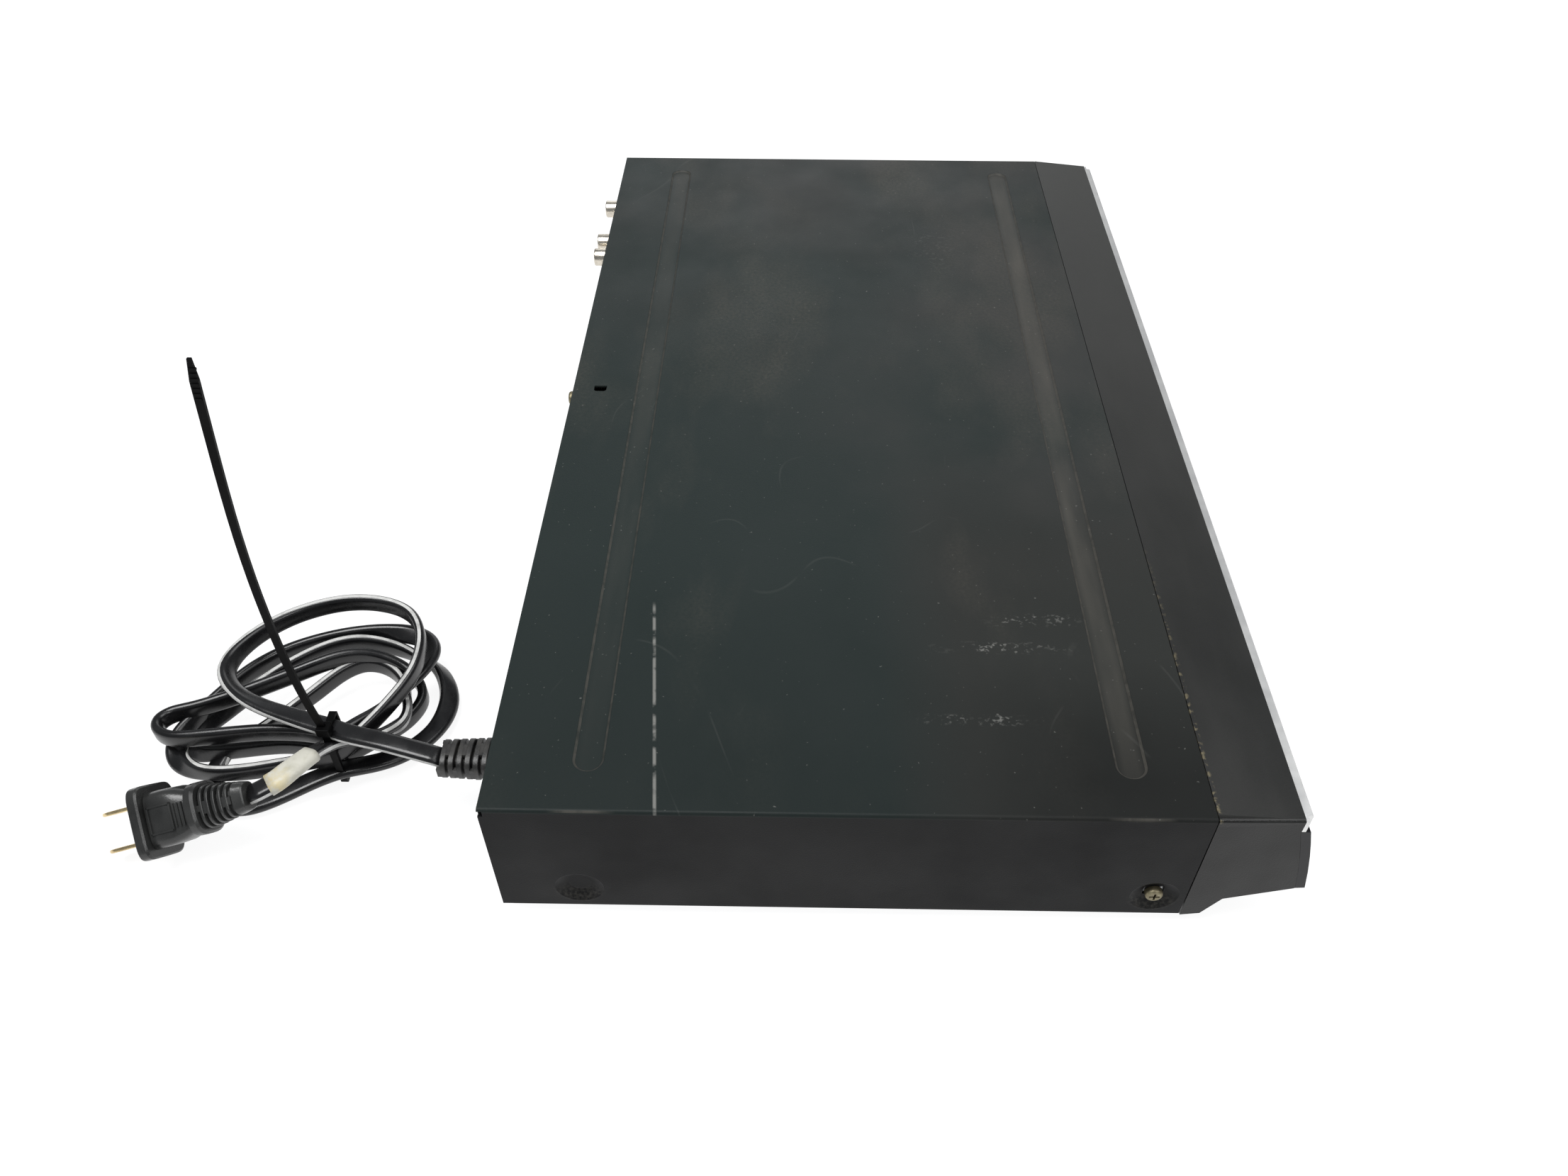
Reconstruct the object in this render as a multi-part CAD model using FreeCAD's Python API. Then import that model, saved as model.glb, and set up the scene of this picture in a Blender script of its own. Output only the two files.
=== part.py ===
import FreeCAD, Part
import math
import os

V = FreeCAD.Vector

# Overall size: the folded sheet cover, the moulded bezel in front of it and the sockets behind it
COVER_WIDTH = 430.0
COVER_DEPTH = 223.3
COVER_SIDE_HEIGHT = 53.0
BEZEL_DEPTH = 38.1
SOCKET_REACH = 8.5
FOOT_HEIGHT = 5.5

# Sheet metal and moulded walls
COVER_SHEET = 0.8
PAN_SHEET = 1.0
REAR_SHEET = 0.8
BEZEL_WALL = 2.2
FRONT_PLATE_THICKNESS = 3.1
FRONT_WALL = 2.0
BOARD_THICKNESS = 1.6
SEAM_GAP = 0.3
SEATING_GAP = 0.05
MOVING_GAP = 0.3
SPIN_CLEARANCE = 0.05

# Top cover details
FOLD_RADIUS = 1.2
RIB_WIDTH = 10.2
RIB_FLOOR_WIDTH = 8.2
RIB_DEPTH = 0.85
RIB_END_MARGIN = 15.0
RIB_FROM_REAR = (31.5, 200.8)
DIMPLE_RADIUS = 8.0
DIMPLE_FLAT_RADIUS = 3.9
DIMPLE_DEPTH = 1.9
DIMPLE_HEIGHT = 10.5
REAR_DIMPLE_FROM_REAR = 26.5
FRONT_DIMPLE_FROM_REAR = 213.0
SIDE_HOLE_WIDTH = 6.6
SIDE_HOLE_HEIGHT = 4.4
SIDE_HOLE_DROP = 1.8
SLOT_FROM_REAR = 11.5
SLOT_LENGTH = 5.3
SLOT_WIDTH = 3.8
REAR_FLANGE_HEIGHT = 6.2
SCREW_TAB_WIDTH = 34.0
SCREW_TAB_HEIGHT = 11.5
NOTCH_SIZE = 1.6
SCREW_HEAD_RADIUS = 2.9
SCREW_HEAD_HEIGHT = 2.4
SCREW_SHANK_RADIUS = 1.4
SCREW_LENGTH = 7.0
REAR_SCREW_DROP = 5.2

# Bezel profile, as distance in front of the seam and height above the table
BEZEL_TOP_FRONT = (27.2, 56.7)
BEZEL_FOOT_REAR = (0.5, 4.6)
BEZEL_FOOT_FRONT = (7.0, 5.1)
CHIN_START = (12.5, 13.6)
CHIN_FRONT = (34.9, 18.5)
FACE_BOTTOM_HEIGHT = 18.7
FACE_TOP = (30.0, 51.5)
FACE_BULGE = 0.55
SIDE_TAPER = 1.75
PLATE_TOP_HEIGHT = 50.8
TRIM_BOTTOM_HEIGHT = 51.1
TRIM_TOP_HEIGHT = 56.0
TRIM_SPLIT = 28.5
TRIM_FRONT = 30.4
TRIM_END_STEP = 2.6
BEZEL_LIP = 7.0
FRONT_WALL_ZONE = 15.0

# Disc loader: the whole drive hangs on these
DRIVE_X = -35.0
DRIVE_WIDTH = 149.0
DRIVE_DEPTH = 185.0
DRIVE_FROM_SEAM = 4.0
DRIVE_FLOOR_HEIGHT = 18.0
DRIVE_LID_HEIGHT = 48.0
DRIVE_WALL = 2.5
SPINDLE_FROM_SEAM = -45.0
TRAY_TRAVEL = 140.0
DISC_POCKET_RADIUS = 60.75
SMALL_DISC_RADIUS = 41.0
TRAY_HALF_WIDTH = 64.5
TRAY_RAIL = 5.5
TRAY_BOTTOM = 37.5
TRAY_TOP = 43.3
TRAY_DISC_LEVEL = 40.5
TRAY_SLOT_HALF = 23.0
TRAY_REAR_FROM_SPINDLE = 107.0
TRAY_FACE_HALF = 70.0
TRAY_FACE_BOTTOM = 34.0
TRAY_FACE_TOP = 49.4

# Gears of the loader
MODULE = 1.0
PRESSURE_ANGLE = math.radians(20)
TOOTH_ROOT = 1.25 * MODULE
TOOTH_TIP = 0.85 * MODULE
BACKLASH = 0.36
RACK_OFFSET = 52.0
TRAY_GEAR_TEETH = 24
PULLEY_GEAR_TEETH = 16
GEAR_LINE_FROM_DRIVE_FRONT = 10.0
GEAR_POST_RADIUS = 1.5
PULLEY_RADIUS = 12.0
MOTOR_PULLEY_RADIUS = 3.2
BELT_CENTRES = 34.0
BELT_THICKNESS = 1.0
LOADING_MOTOR_RADIUS = 12.0
LOADING_MOTOR_HEIGHT = 9.8
MOTOR_SHAFT_RADIUS = 1.0

# Traverse unit: lifts the spindle and the laser sled to the disc
TRAVERSE_HALF_WIDTH = 42.0
TRAVERSE_FRONT = 23.0
TRAVERSE_HINGE = 100.0
TRAVERSE_LEVEL = 25.0
TRAVERSE_SHEET = 2.0
TRAVERSE_PIN_RADIUS = 1.5
TURNTABLE_RADIUS = 14.5
TURNTABLE_TOP = 37.6
SPINDLE_MOTOR_RADIUS = 11.0
SPINDLE_MOTOR_HEIGHT = 10.0
GUIDE_ROD_RADIUS = 1.5
GUIDE_ROD_LEVEL = 29.5
GUIDE_ROD_OFFSETS = (-24.0, 17.0)
SLED_FRONT = 15.5
SLED_REAR = 42.0
SLED_TRAVEL = 34.0
SLED_TOP = 32.2
SLED_GEAR_TEETH = 16
SLED_PINION_TEETH = 12
SLED_RACK_OFFSET = 23.0
SLED_GEAR_FROM_SPINDLE = 44.0
SLED_GEAR_TOP = 30.6
CLAMPER_BOTTOM = 45.2

# Front controls
POWER_BUTTON = (-186.0, 42.0, 20.0, 8.0)
EJECT_BUTTON = (56.0, 42.0, 18.0, 6.0)
KEY_ROW_START = -178.0
KEY_ROW_PITCH = 22.0
KEY_ROW_HEIGHT = 26.0
KEY_WIDTH = 16.0
KEY_HEIGHT = 5.0
KEY_NAMES = ("stop_key", "play_key", "record_key", "channel_down_key", "channel_up_key")
BUTTON_TRAVEL = 0.8
BUTTON_STEM_RADIUS = 1.5
BUTTON_PROUD = 0.5
BUTTON_STEM_REACH = 1.0
BUTTON_FROM_SWITCH = 1.0
FRONT_BOARD_FROM_SEAM = 18.0
FRONT_BOARD_BOTTOM = 18.9
FRONT_BOARD_TOP = 33.0
WINDOW_FROM_CENTRE = (78.0, 190.0)
WINDOW_BOTTOM = 35.5
WINDOW_TOP = 49.0
FLAP_FROM_CENTRE = (78.0, 186.0)
FLAP_BOTTOM = 20.2
FLAP_TOP = 31.8
FLAP_PIN_RADIUS = 1.0
FLAP_PIN_REACH = 2.0
FLAP_EDGE_RADIUS = 1.5
FRONT_SOCKETS_FROM_CENTRE = (98.0, 124.0, 150.0)
FRONT_SOCKET_TIP_FROM_SEAM = 27.6
FRONT_SOCKET_HEIGHT = 26.0

# Rear sockets, as distance in from the right side of the cover
TOP_ROW_HEIGHT = 45.5
LOW_ROW_HEIGHT = 21.5
TOP_ROW_FROM_SIDE = (34.5, 69.8, 84.4)
LOW_ROW_FROM_SIDE = (19.9, 34.5, 69.8, 84.4)
S_VIDEO_FROM_SIDE = 52.2
HDMI_FROM_SIDE = 112.0
ANTENNA_FROM_SIDE = (136.0, 158.0)
SOCKET_RADIUS = 4.3
SOCKET_COLLAR_RADIUS = 5.4
SOCKET_COLLAR = 0.6
SOCKET_BORE_RADIUS = 3.55
SOCKET_PIN_RADIUS = 1.6
ANTENNA_RADIUS = 4.7
SOCKET_BLOCK_HALF = 6.6
PANEL_HOLE_GAP = 0.2
S_VIDEO_RADIUS = 5.0
HDMI_HALF_WIDTH = 7.5
HDMI_HALF_HEIGHT = 2.9
ANTENNA_CAN_TOP = 33.0

# Chips of the main board: place from its left and front edges, size and height
CHIPS = (
    (40, 60, 28, 2.2),
    (80, 60, 20, 1.6),
    (45, 110, 18, 1.6),
    (75, 105, 14, 1.6),
    (110, 90, 22, 1.8),
)

# Flat cables from the drive to the main board
RIBBON_WIDTH = 14.0
RIBBON_THICKNESS = 0.4
RIBBON_REACH = 7.0
RIBBON_RISE = 9.0

# Fan at the rear
FAN_X = -70.0
FAN_SIZE = 40.0
FAN_DEPTH = 10.0
FAN_LEVEL = 32.0
FAN_HOLE_PITCH = 5.2
FAN_HOLE_RADIUS = 1.9

# Power cord: flat two-core lead, coiled, tied and ending in a polarised plug
CORD_WIDTH = 7.6
CORD_THICKNESS = 3.6
CORD_FROM_SIDE = 44.0
CORD_LEVEL = 25.5
RELIEF_LENGTH = 25.9
RELIEF_RINGS = 5
RELIEF_PITCH = 2.9
RELIEF_NECK_HALF_WIDTH = 5.5
RELIEF_NECK_HALF_HEIGHT = 4.1
TIE_WIDTH = 2.5
TIE_THICKNESS = 1.1
TIE_BOTTOM = 2.0
TIE_TEETH = 7
TIE_TOOTH_PITCH = 1.6
BLADE_PITCH = 12.7
BLADE_LENGTH = 16.5
BLADE_THICKNESS = 1.5
BLADE_WIDTHS = (6.35, 7.9)
FLANGE_HALF = (12.3, 10.0)
FLANGE_BACK = 3.6
PLUG_BODY_HALF = (10.0, 7.6)
PLUG_BODY_BACK = 17.0
PLUG_PANEL = (6.2, 14.6)
PLUG_PANEL_HALF = 4.5
PLUG_PANEL_DEPTH = 0.6
PLUG_NECK_HALF = (7.6, 6.6)
COLLAR_HALF = (8.8, 8.2)
COLLAR_FRONT = 18.6
COLLAR_BACK = 22.6
PLUG_SLEEVE_RADII = (6.4, 4.9)
LABEL_SIZE = (8.8, 6.6, 19.0)

# Levels and lines that follow from the sizes above
TOTAL_DEPTH = BEZEL_DEPTH + COVER_DEPTH + SOCKET_REACH
HALF_WIDTH = COVER_WIDTH / 2
REAR_Y = TOTAL_DEPTH / 2 - SOCKET_REACH
SEAM_Y = REAR_Y - COVER_DEPTH
TOP_Z = FOOT_HEIGHT + COVER_SIDE_HEIGHT
LID_UNDER = TOP_Z - COVER_SHEET
PAN_TOP = FOOT_HEIGHT + PAN_SHEET
PAN_HALF = HALF_WIDTH - DIMPLE_DEPTH - COVER_SHEET
PANEL_OUTER = REAR_Y - COVER_SHEET
PANEL_INNER = PANEL_OUTER - REAR_SHEET
DRIVE_FRONT = SEAM_Y - DRIVE_FROM_SEAM
DRIVE_REAR = DRIVE_FRONT + DRIVE_DEPTH
SPINDLE_Y = SEAM_Y - SPINDLE_FROM_SEAM
HINGE_Y = SPINDLE_Y + TRAVERSE_HINGE
HINGE_Z = TRAVERSE_LEVEL + TRAVERSE_SHEET / 2
FRONT_BOARD_Y = SEAM_Y - FRONT_BOARD_FROM_SEAM
FLAP_PIVOT_Z = FLAP_BOTTOM + FLAP_EDGE_RADIUS + 2 * MOVING_GAP
BOARD_LEVEL = PAN_TOP + 5.5


def box(x0, x1, y0, y1, z0, z1):
    return Part.makeBox(x1 - x0, y1 - y0, z1 - z0, V(x0, y0, z0))


def rod(radius, start, end):
    along = V(*end) - V(*start)
    return Part.makeCylinder(radius, along.Length, V(*start), along)


def ring(outer, inner, start, end):
    return rod(outer, start, end).cut(rod(inner, start, end))


def fuse(first, *others):
    solid = first
    for other in others:
        solid = solid.fuse(other)
    return solid.removeSplitter()


def face_from(points):
    corners = [V(*p) for p in points]
    return Part.Face(Part.makePolygon(corners + corners[:1]))


def side_prism(points, x0, x1):
    """Solid of an outline drawn in the side view as (y, z)."""
    return face_from([(x0, y, z) for y, z in points]).extrude(V(x1 - x0, 0, 0))


def plan_prism(points, z0, z1):
    """Solid of an outline drawn from above as (x, y)."""
    return face_from([(x, y, z0) for x, y in points]).extrude(V(0, 0, z1 - z0))


def stadium(x0, x1, y, width, z):
    """Long round-ended outline along X."""
    r = width / 2
    near = V(x0 + r, y, z)
    far = V(x1 - r, y, z)
    up = V(0, r, 0)
    left = Part.Arc(near + up, near - V(r, 0, 0), near - up).toShape()
    right = Part.Arc(far - up, far + V(r, 0, 0), far + up).toShape()
    low = Part.LineSegment(near - up, far - up).toShape()
    high = Part.LineSegment(far + up, near + up).toShape()
    return Part.Wire([left, low, right, high])


def save(name, *solids):
    shape = solids[0] if len(solids) == 1 else Part.Compound(list(solids))
    shape.exportStep("parts/" + name + ".step")
    print(name, len(shape.Solids), "solids", round(shape.Volume), "mm3", "valid", shape.isValid())


def involute(angle):
    return math.tan(angle) - angle


def gear(teeth, x, y, z0, z1, first_tooth_deg, bore_radius):
    """Spur gear with involute flanks, its first tooth at the given angle."""
    pitch_radius = MODULE * teeth / 2
    base_radius = pitch_radius * math.cos(PRESSURE_ANGLE)
    root_radius = pitch_radius - TOOTH_ROOT
    tip_radius = pitch_radius + TOOTH_TIP
    flank_start = max(base_radius, root_radius) + 0.02
    radii = [flank_start + (tip_radius - flank_start) * i / 3 for i in range(4)]
    half_at_pitch = math.pi / (2 * teeth) - BACKLASH / (2 * pitch_radius)
    points = []
    for tooth in range(teeth):
        middle = math.radians(first_tooth_deg) + 2 * math.pi * tooth / teeth
        half_at_base = half_at_pitch + involute(PRESSURE_ANGLE)
        halves = [half_at_base - involute(math.acos(base_radius / r)) for r in radii]
        flank = [(root_radius, -halves[0] - 0.02)]
        flank += [(r, -half) for r, half in zip(radii, halves)]
        flank += [(r, half) for r, half in zip(reversed(radii), reversed(halves))]
        flank += [(root_radius, halves[0] + 0.02)]
        points += [(x + r * math.cos(middle + a), y + r * math.sin(middle + a)) for r, a in flank]
    return plan_prism(points, z0, z1).cut(rod(bore_radius, (x, y, z0), (x, y, z1)))


def rack(pitch_x, back_x, y0, y1, gap_y, z0, z1):
    """Straight rack along Y with teeth towards +X and the middle of a gap at gap_y."""
    pitch = math.pi * MODULE
    root = pitch_x - TOOTH_ROOT
    tip = pitch_x + TOOTH_TIP
    lean = math.tan(PRESSURE_ANGLE)
    half = pitch / 4 - BACKLASH / 2
    solid = box(back_x, root, y0, y1, z0, z1)
    first = math.ceil((y0 - gap_y) / pitch + 0.5)
    last = math.floor((y1 - gap_y) / pitch - 0.5)
    for step in range(first, last):
        middle = gap_y + (step + 0.5) * pitch
        wide = half + TOOTH_ROOT * lean
        slim = half - TOOTH_TIP * lean
        tooth = [(root, middle - wide), (tip, middle - slim), (tip, middle + slim), (root, middle + wide)]
        solid = solid.fuse(plan_prism(tooth, z0, z1))
    return solid.removeSplitter()


def pan_head_screw(x, y, z, direction):
    """Cross-recessed pan-head screw; x, y, z is the seat of the head, direction points out of the head."""
    seat = V(x, y, z)
    head = Part.makeCylinder(SCREW_HEAD_RADIUS, SCREW_HEAD_HEIGHT, seat, direction)
    crown = [e for e in head.Edges if (e.CenterOfMass - seat).dot(direction) > SCREW_HEAD_HEIGHT / 2]
    round_edges = [e for e in crown if e.Curve.TypeId == "Part::GeomCircle"]
    head = head.makeFillet(SCREW_HEAD_HEIGHT * 0.45, round_edges)
    shank = Part.makeCylinder(SCREW_SHANK_RADIUS, SCREW_LENGTH, seat - direction * SCREW_LENGTH, direction)
    screw = head.fuse(shank)
    blade = Part.makeBox(0.7, 3.4, 1.3, V(-0.35, -1.7, 0))
    cross = blade.fuse(Part.makeBox(3.4, 0.7, 1.3, V(-1.7, -0.35, 0)))
    cross.Placement = FreeCAD.Placement(seat + direction * (SCREW_HEAD_HEIGHT - 1.2),
                                        FreeCAD.Rotation(V(0, 0, 1), direction))
    return screw.cut(cross)


# The front face is one shallow arc in the side view
FACE_LOW = V(0, SEAM_Y - BEZEL_DEPTH, FACE_BOTTOM_HEIGHT)
FACE_HIGH = V(0, SEAM_Y - FACE_TOP[0], FACE_TOP[1])
FACE_CHORD = FACE_HIGH - FACE_LOW
FACE_OUT = V(0, -FACE_CHORD.z, FACE_CHORD.y).normalize()
FACE_MIDDLE = (FACE_LOW + FACE_HIGH) * 0.5 + FACE_OUT * FACE_BULGE


def face_y(z, depth=0.0):
    """Y of the front face, or of the surface that lies the given depth behind it, at height z."""
    share = (z - FACE_LOW.z) / FACE_CHORD.z
    chord_y = FACE_LOW.y + share * FACE_CHORD.y
    bulge = FACE_BULGE * 4 * share * (1 - share)
    return chord_y - bulge + depth / -FACE_OUT.y


def face_slab(outer_depth, inner_depth, z0, z1, x0=-HALF_WIDTH, x1=HALF_WIDTH):
    """Curved slab parallel to the front face, between two depths behind it and two heights."""
    edges = []
    corners = []
    for depth, order in ((outer_depth, (z0, (z0 + z1) / 2, z1)), (inner_depth, (z1, (z0 + z1) / 2, z0))):
        a, b, c = [V(x0, face_y(z, depth), z) for z in order]
        edges.append(Part.Arc(a, b, c).toShape())
        corners.append((a, c))
    edges.insert(1, Part.LineSegment(corners[0][1], corners[1][0]).toShape())
    edges.append(Part.LineSegment(corners[1][1], corners[0][0]).toShape())
    return Part.Face(Part.Wire(edges)).extrude(V(x1 - x0, 0, 0))


def taper_plan(inset, z0, z1):
    """Plan outline of the bezel, whose sides run inward towards the front."""
    slope = SIDE_TAPER / FACE_TOP[0]
    front = BEZEL_DEPTH + 5.0
    half_rear = HALF_WIDTH - inset
    half_front = HALF_WIDTH - slope * front - inset
    y0 = SEAM_Y - front
    outline = [(-half_rear, SEAM_Y), (half_rear, SEAM_Y), (half_front, y0), (-half_front, y0)]
    return plan_prism(outline, z0, z1)


# Casing

def make_top_cover():
    shell = box(-HALF_WIDTH, HALF_WIDTH, SEAM_Y, REAR_Y, FOOT_HEIGHT, TOP_Z)
    folds = [e for e in shell.Edges if abs(e.CenterOfMass.z - TOP_Z) < 0.01
             and abs(e.CenterOfMass.x) > HALF_WIDTH - 0.01]
    shell = shell.makeFillet(FOLD_RADIUS, folds)
    inner_half = HALF_WIDTH - COVER_SHEET
    hollow = box(-inner_half, inner_half, SEAM_Y - 1, REAR_Y + 1, FOOT_HEIGHT - 1, LID_UNDER)
    inner_folds = [e for e in hollow.Edges if abs(e.CenterOfMass.z - LID_UNDER) < 0.01
                   and abs(e.CenterOfMass.x) > HALF_WIDTH - 2 * COVER_SHEET]
    hollow = hollow.makeFillet(FOLD_RADIUS - COVER_SHEET, inner_folds)
    shell = shell.cut(hollow)
    flange_half = inner_half - SEAM_GAP
    flange = box(-flange_half, flange_half, PANEL_OUTER, REAR_Y, LID_UNDER - REAR_FLANGE_HEIGHT, LID_UNDER)
    tab_half = SCREW_TAB_WIDTH / 2
    tab = box(-tab_half, tab_half, PANEL_OUTER, REAR_Y, LID_UNDER - SCREW_TAB_HEIGHT, LID_UNDER)
    screw_z = TOP_Z - REAR_SCREW_DROP
    tab_hole = rod(SCREW_SHANK_RADIUS + 0.1, (0, PANEL_OUTER - 1, screw_z), (0, REAR_Y + 1, screw_z))
    shell = fuse(shell, flange, tab).cut(tab_hole)
    rib_end = HALF_WIDTH - RIB_END_MARGIN
    for from_rear in RIB_FROM_REAR:
        y = REAR_Y - from_rear
        floor_under = LID_UNDER - RIB_DEPTH
        under = Part.makeLoft([stadium(-rib_end - 0.5, rib_end + 0.5, y, RIB_WIDTH + 1.0, LID_UNDER),
                               stadium(-rib_end + 0.6, rib_end - 0.6, y, RIB_FLOOR_WIDTH + 0.6, floor_under)],
                              True, True)
        groove = Part.makeLoft([stadium(-rib_end, rib_end, y, RIB_WIDTH, TOP_Z),
                                stadium(-rib_end + 1, rib_end - 1, y, RIB_FLOOR_WIDTH, TOP_Z - RIB_DEPTH)],
                               True, True)
        shell = shell.fuse(under).cut(groove)
    for side in (-1, 1):
        for from_rear, has_screw in ((REAR_DIMPLE_FROM_REAR, False), (FRONT_DIMPLE_FROM_REAR, True)):
            outside = V(side * HALF_WIDTH, REAR_Y - from_rear, FOOT_HEIGHT + DIMPLE_HEIGHT)
            inward = V(-side, 0, 0)
            bump = Part.makeCone(DIMPLE_RADIUS, DIMPLE_FLAT_RADIUS + 0.7, DIMPLE_DEPTH,
                                 outside + inward * COVER_SHEET, inward)
            dish = Part.makeCone(DIMPLE_RADIUS, DIMPLE_FLAT_RADIUS, DIMPLE_DEPTH, outside, inward)
            shell = shell.fuse(bump).cut(dish)
            if has_screw:
                hole_low = outside.z - SIDE_HOLE_DROP
                hole = box(outside.x - 5, outside.x + 5, outside.y - SIDE_HOLE_WIDTH / 2,
                           outside.y + SIDE_HOLE_WIDTH / 2, hole_low, hole_low + SIDE_HOLE_HEIGHT)
                shell = shell.cut(hole)
        corner_x = side * (HALF_WIDTH - COVER_SHEET / 2)
        notch = box(corner_x - COVER_SHEET, corner_x + COVER_SHEET, REAR_Y - NOTCH_SIZE, REAR_Y + 1,
                    TOP_Z - 2 * NOTCH_SIZE, TOP_Z - NOTCH_SIZE / 2)
        shell = shell.cut(notch)
    slot_y = REAR_Y - SLOT_FROM_REAR
    slot = box(-SLOT_WIDTH / 2, SLOT_WIDTH / 2, slot_y - SLOT_LENGTH / 2, slot_y + SLOT_LENGTH / 2,
               LID_UNDER - 1, TOP_Z + 1)
    corners = [e for e in slot.Edges if abs(e.CenterOfMass.x + SLOT_WIDTH / 2) < 0.01
               and abs(e.CenterOfMass.z - (LID_UNDER + TOP_Z) / 2) < 0.6 and abs(e.tangentAt(0).z) > 0.9]
    shell = shell.cut(slot.makeFillet(1.3, corners))
    save("top_cover", shell)


def make_chassis_pan():
    front = SEAM_Y + 0.5
    pan = box(-PAN_HALF, PAN_HALF, front, PANEL_OUTER, FOOT_HEIGHT, PAN_TOP)
    flange_top = FOOT_HEIGHT + 2 * DIMPLE_HEIGHT
    for side in (-1, 1):
        outer = side * PAN_HALF
        inner = side * (PAN_HALF - PAN_SHEET)
        flange = box(min(outer, inner), max(outer, inner), front + 2, PANEL_INNER, FOOT_HEIGHT, flange_top)
        pan = pan.fuse(flange)
    for side in (-1, 1):
        y = REAR_Y - FRONT_DIMPLE_FROM_REAR
        z = FOOT_HEIGHT + DIMPLE_HEIGHT
        pan = pan.cut(rod(SCREW_SHANK_RADIUS, (side * (PAN_HALF - 3), y, z), (side * (PAN_HALF + 3), y, z)))
    vents = []
    for row in range(2):
        for i in range(14):
            x = -HALF_WIDTH + 26 + i * 7.0
            y = REAR_Y - 96 + row * 40
            vents.append(box(x, x + 3, y, y + 30, FOOT_HEIGHT - 1, PAN_TOP + 1))
    for i in range(14):
        x = HALF_WIDTH - 60 - i * 7.0
        vents.append(box(x, x + 3, SEAM_Y + 60, SEAM_Y + 100, FOOT_HEIGHT - 1, PAN_TOP + 1))
    pan = pan.cut(Part.Compound(vents)).removeSplitter()
    save("chassis_pan", pan)


def foot_places():
    xs = (-HALF_WIDTH + 48, HALF_WIDTH - 48)
    ys = (SEAM_Y + 22, REAR_Y - 24)
    return [(x, y) for x in xs for y in ys]


def make_feet():
    feet = []
    for x, y in foot_places():
        foot = Part.makeCone(8.2, 9.5, FOOT_HEIGHT, V(x, y, 0), V(0, 0, 1))
        foot = foot.cut(rod(2.6, (x, y, -1), (x, y, FOOT_HEIGHT - 2)))
        feet.append(foot)
    save("rubber_feet", *feet)


def socket_xs(distances):
    return [HALF_WIDTH - d for d in distances]


def make_rear_panel():
    half = PAN_HALF
    panel = box(-half, half, PANEL_INNER, PANEL_OUTER, PAN_TOP, LID_UNDER)
    y0 = PANEL_INNER - 1
    low = LOW_ROW_HEIGHT
    round_holes = [(x, TOP_ROW_HEIGHT, SOCKET_RADIUS) for x in socket_xs(TOP_ROW_FROM_SIDE)]
    round_holes += [(x, low, SOCKET_RADIUS) for x in socket_xs(LOW_ROW_FROM_SIDE)]
    round_holes += [(x, low, ANTENNA_RADIUS) for x in socket_xs(ANTENNA_FROM_SIDE)]
    round_holes.append((HALF_WIDTH - S_VIDEO_FROM_SIDE, low, S_VIDEO_RADIUS))
    holes = [rod(radius + PANEL_HOLE_GAP, (x, y0, z), (x, REAR_Y, z)) for x, z, radius in round_holes]
    h_x = HALF_WIDTH - HDMI_FROM_SIDE
    h_half = HDMI_HALF_WIDTH + PANEL_HOLE_GAP
    h_rise = HDMI_HALF_HEIGHT + PANEL_HOLE_GAP
    holes.append(box(h_x - h_half, h_x + h_half, y0, REAR_Y, low - h_rise, low + h_rise))
    cord_x = -HALF_WIDTH + CORD_FROM_SIDE
    cord_half = RELIEF_NECK_HALF_WIDTH + 0.1
    cord_low = CORD_LEVEL - RELIEF_NECK_HALF_HEIGHT - 0.1
    cord_high = CORD_LEVEL + RELIEF_NECK_HALF_HEIGHT + 0.1
    holes.append(box(cord_x - cord_half, cord_x + cord_half, y0, REAR_Y, cord_low, cord_high))
    screw_z = TOP_Z - REAR_SCREW_DROP
    holes.append(rod(SCREW_SHANK_RADIUS, (0, y0, screw_z), (0, REAR_Y, screw_z)))
    for row in range(-3, 4):
        for column in range(-3, 4):
            if row * row + column * column <= 13 and (row, column) != (0, 0):
                x = FAN_X + column * FAN_HOLE_PITCH
                z = FAN_LEVEL + row * FAN_HOLE_PITCH
                holes.append(rod(FAN_HOLE_RADIUS, (x, y0, z), (x, REAR_Y, z)))
    for i in range(9):
        x = -HALF_WIDTH + 70 + i * 5.0
        holes.append(box(x, x + 2.2, y0, REAR_Y, 17, 31))
    panel = panel.cut(Part.Compound(holes))
    save("rear_panel", panel)


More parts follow.
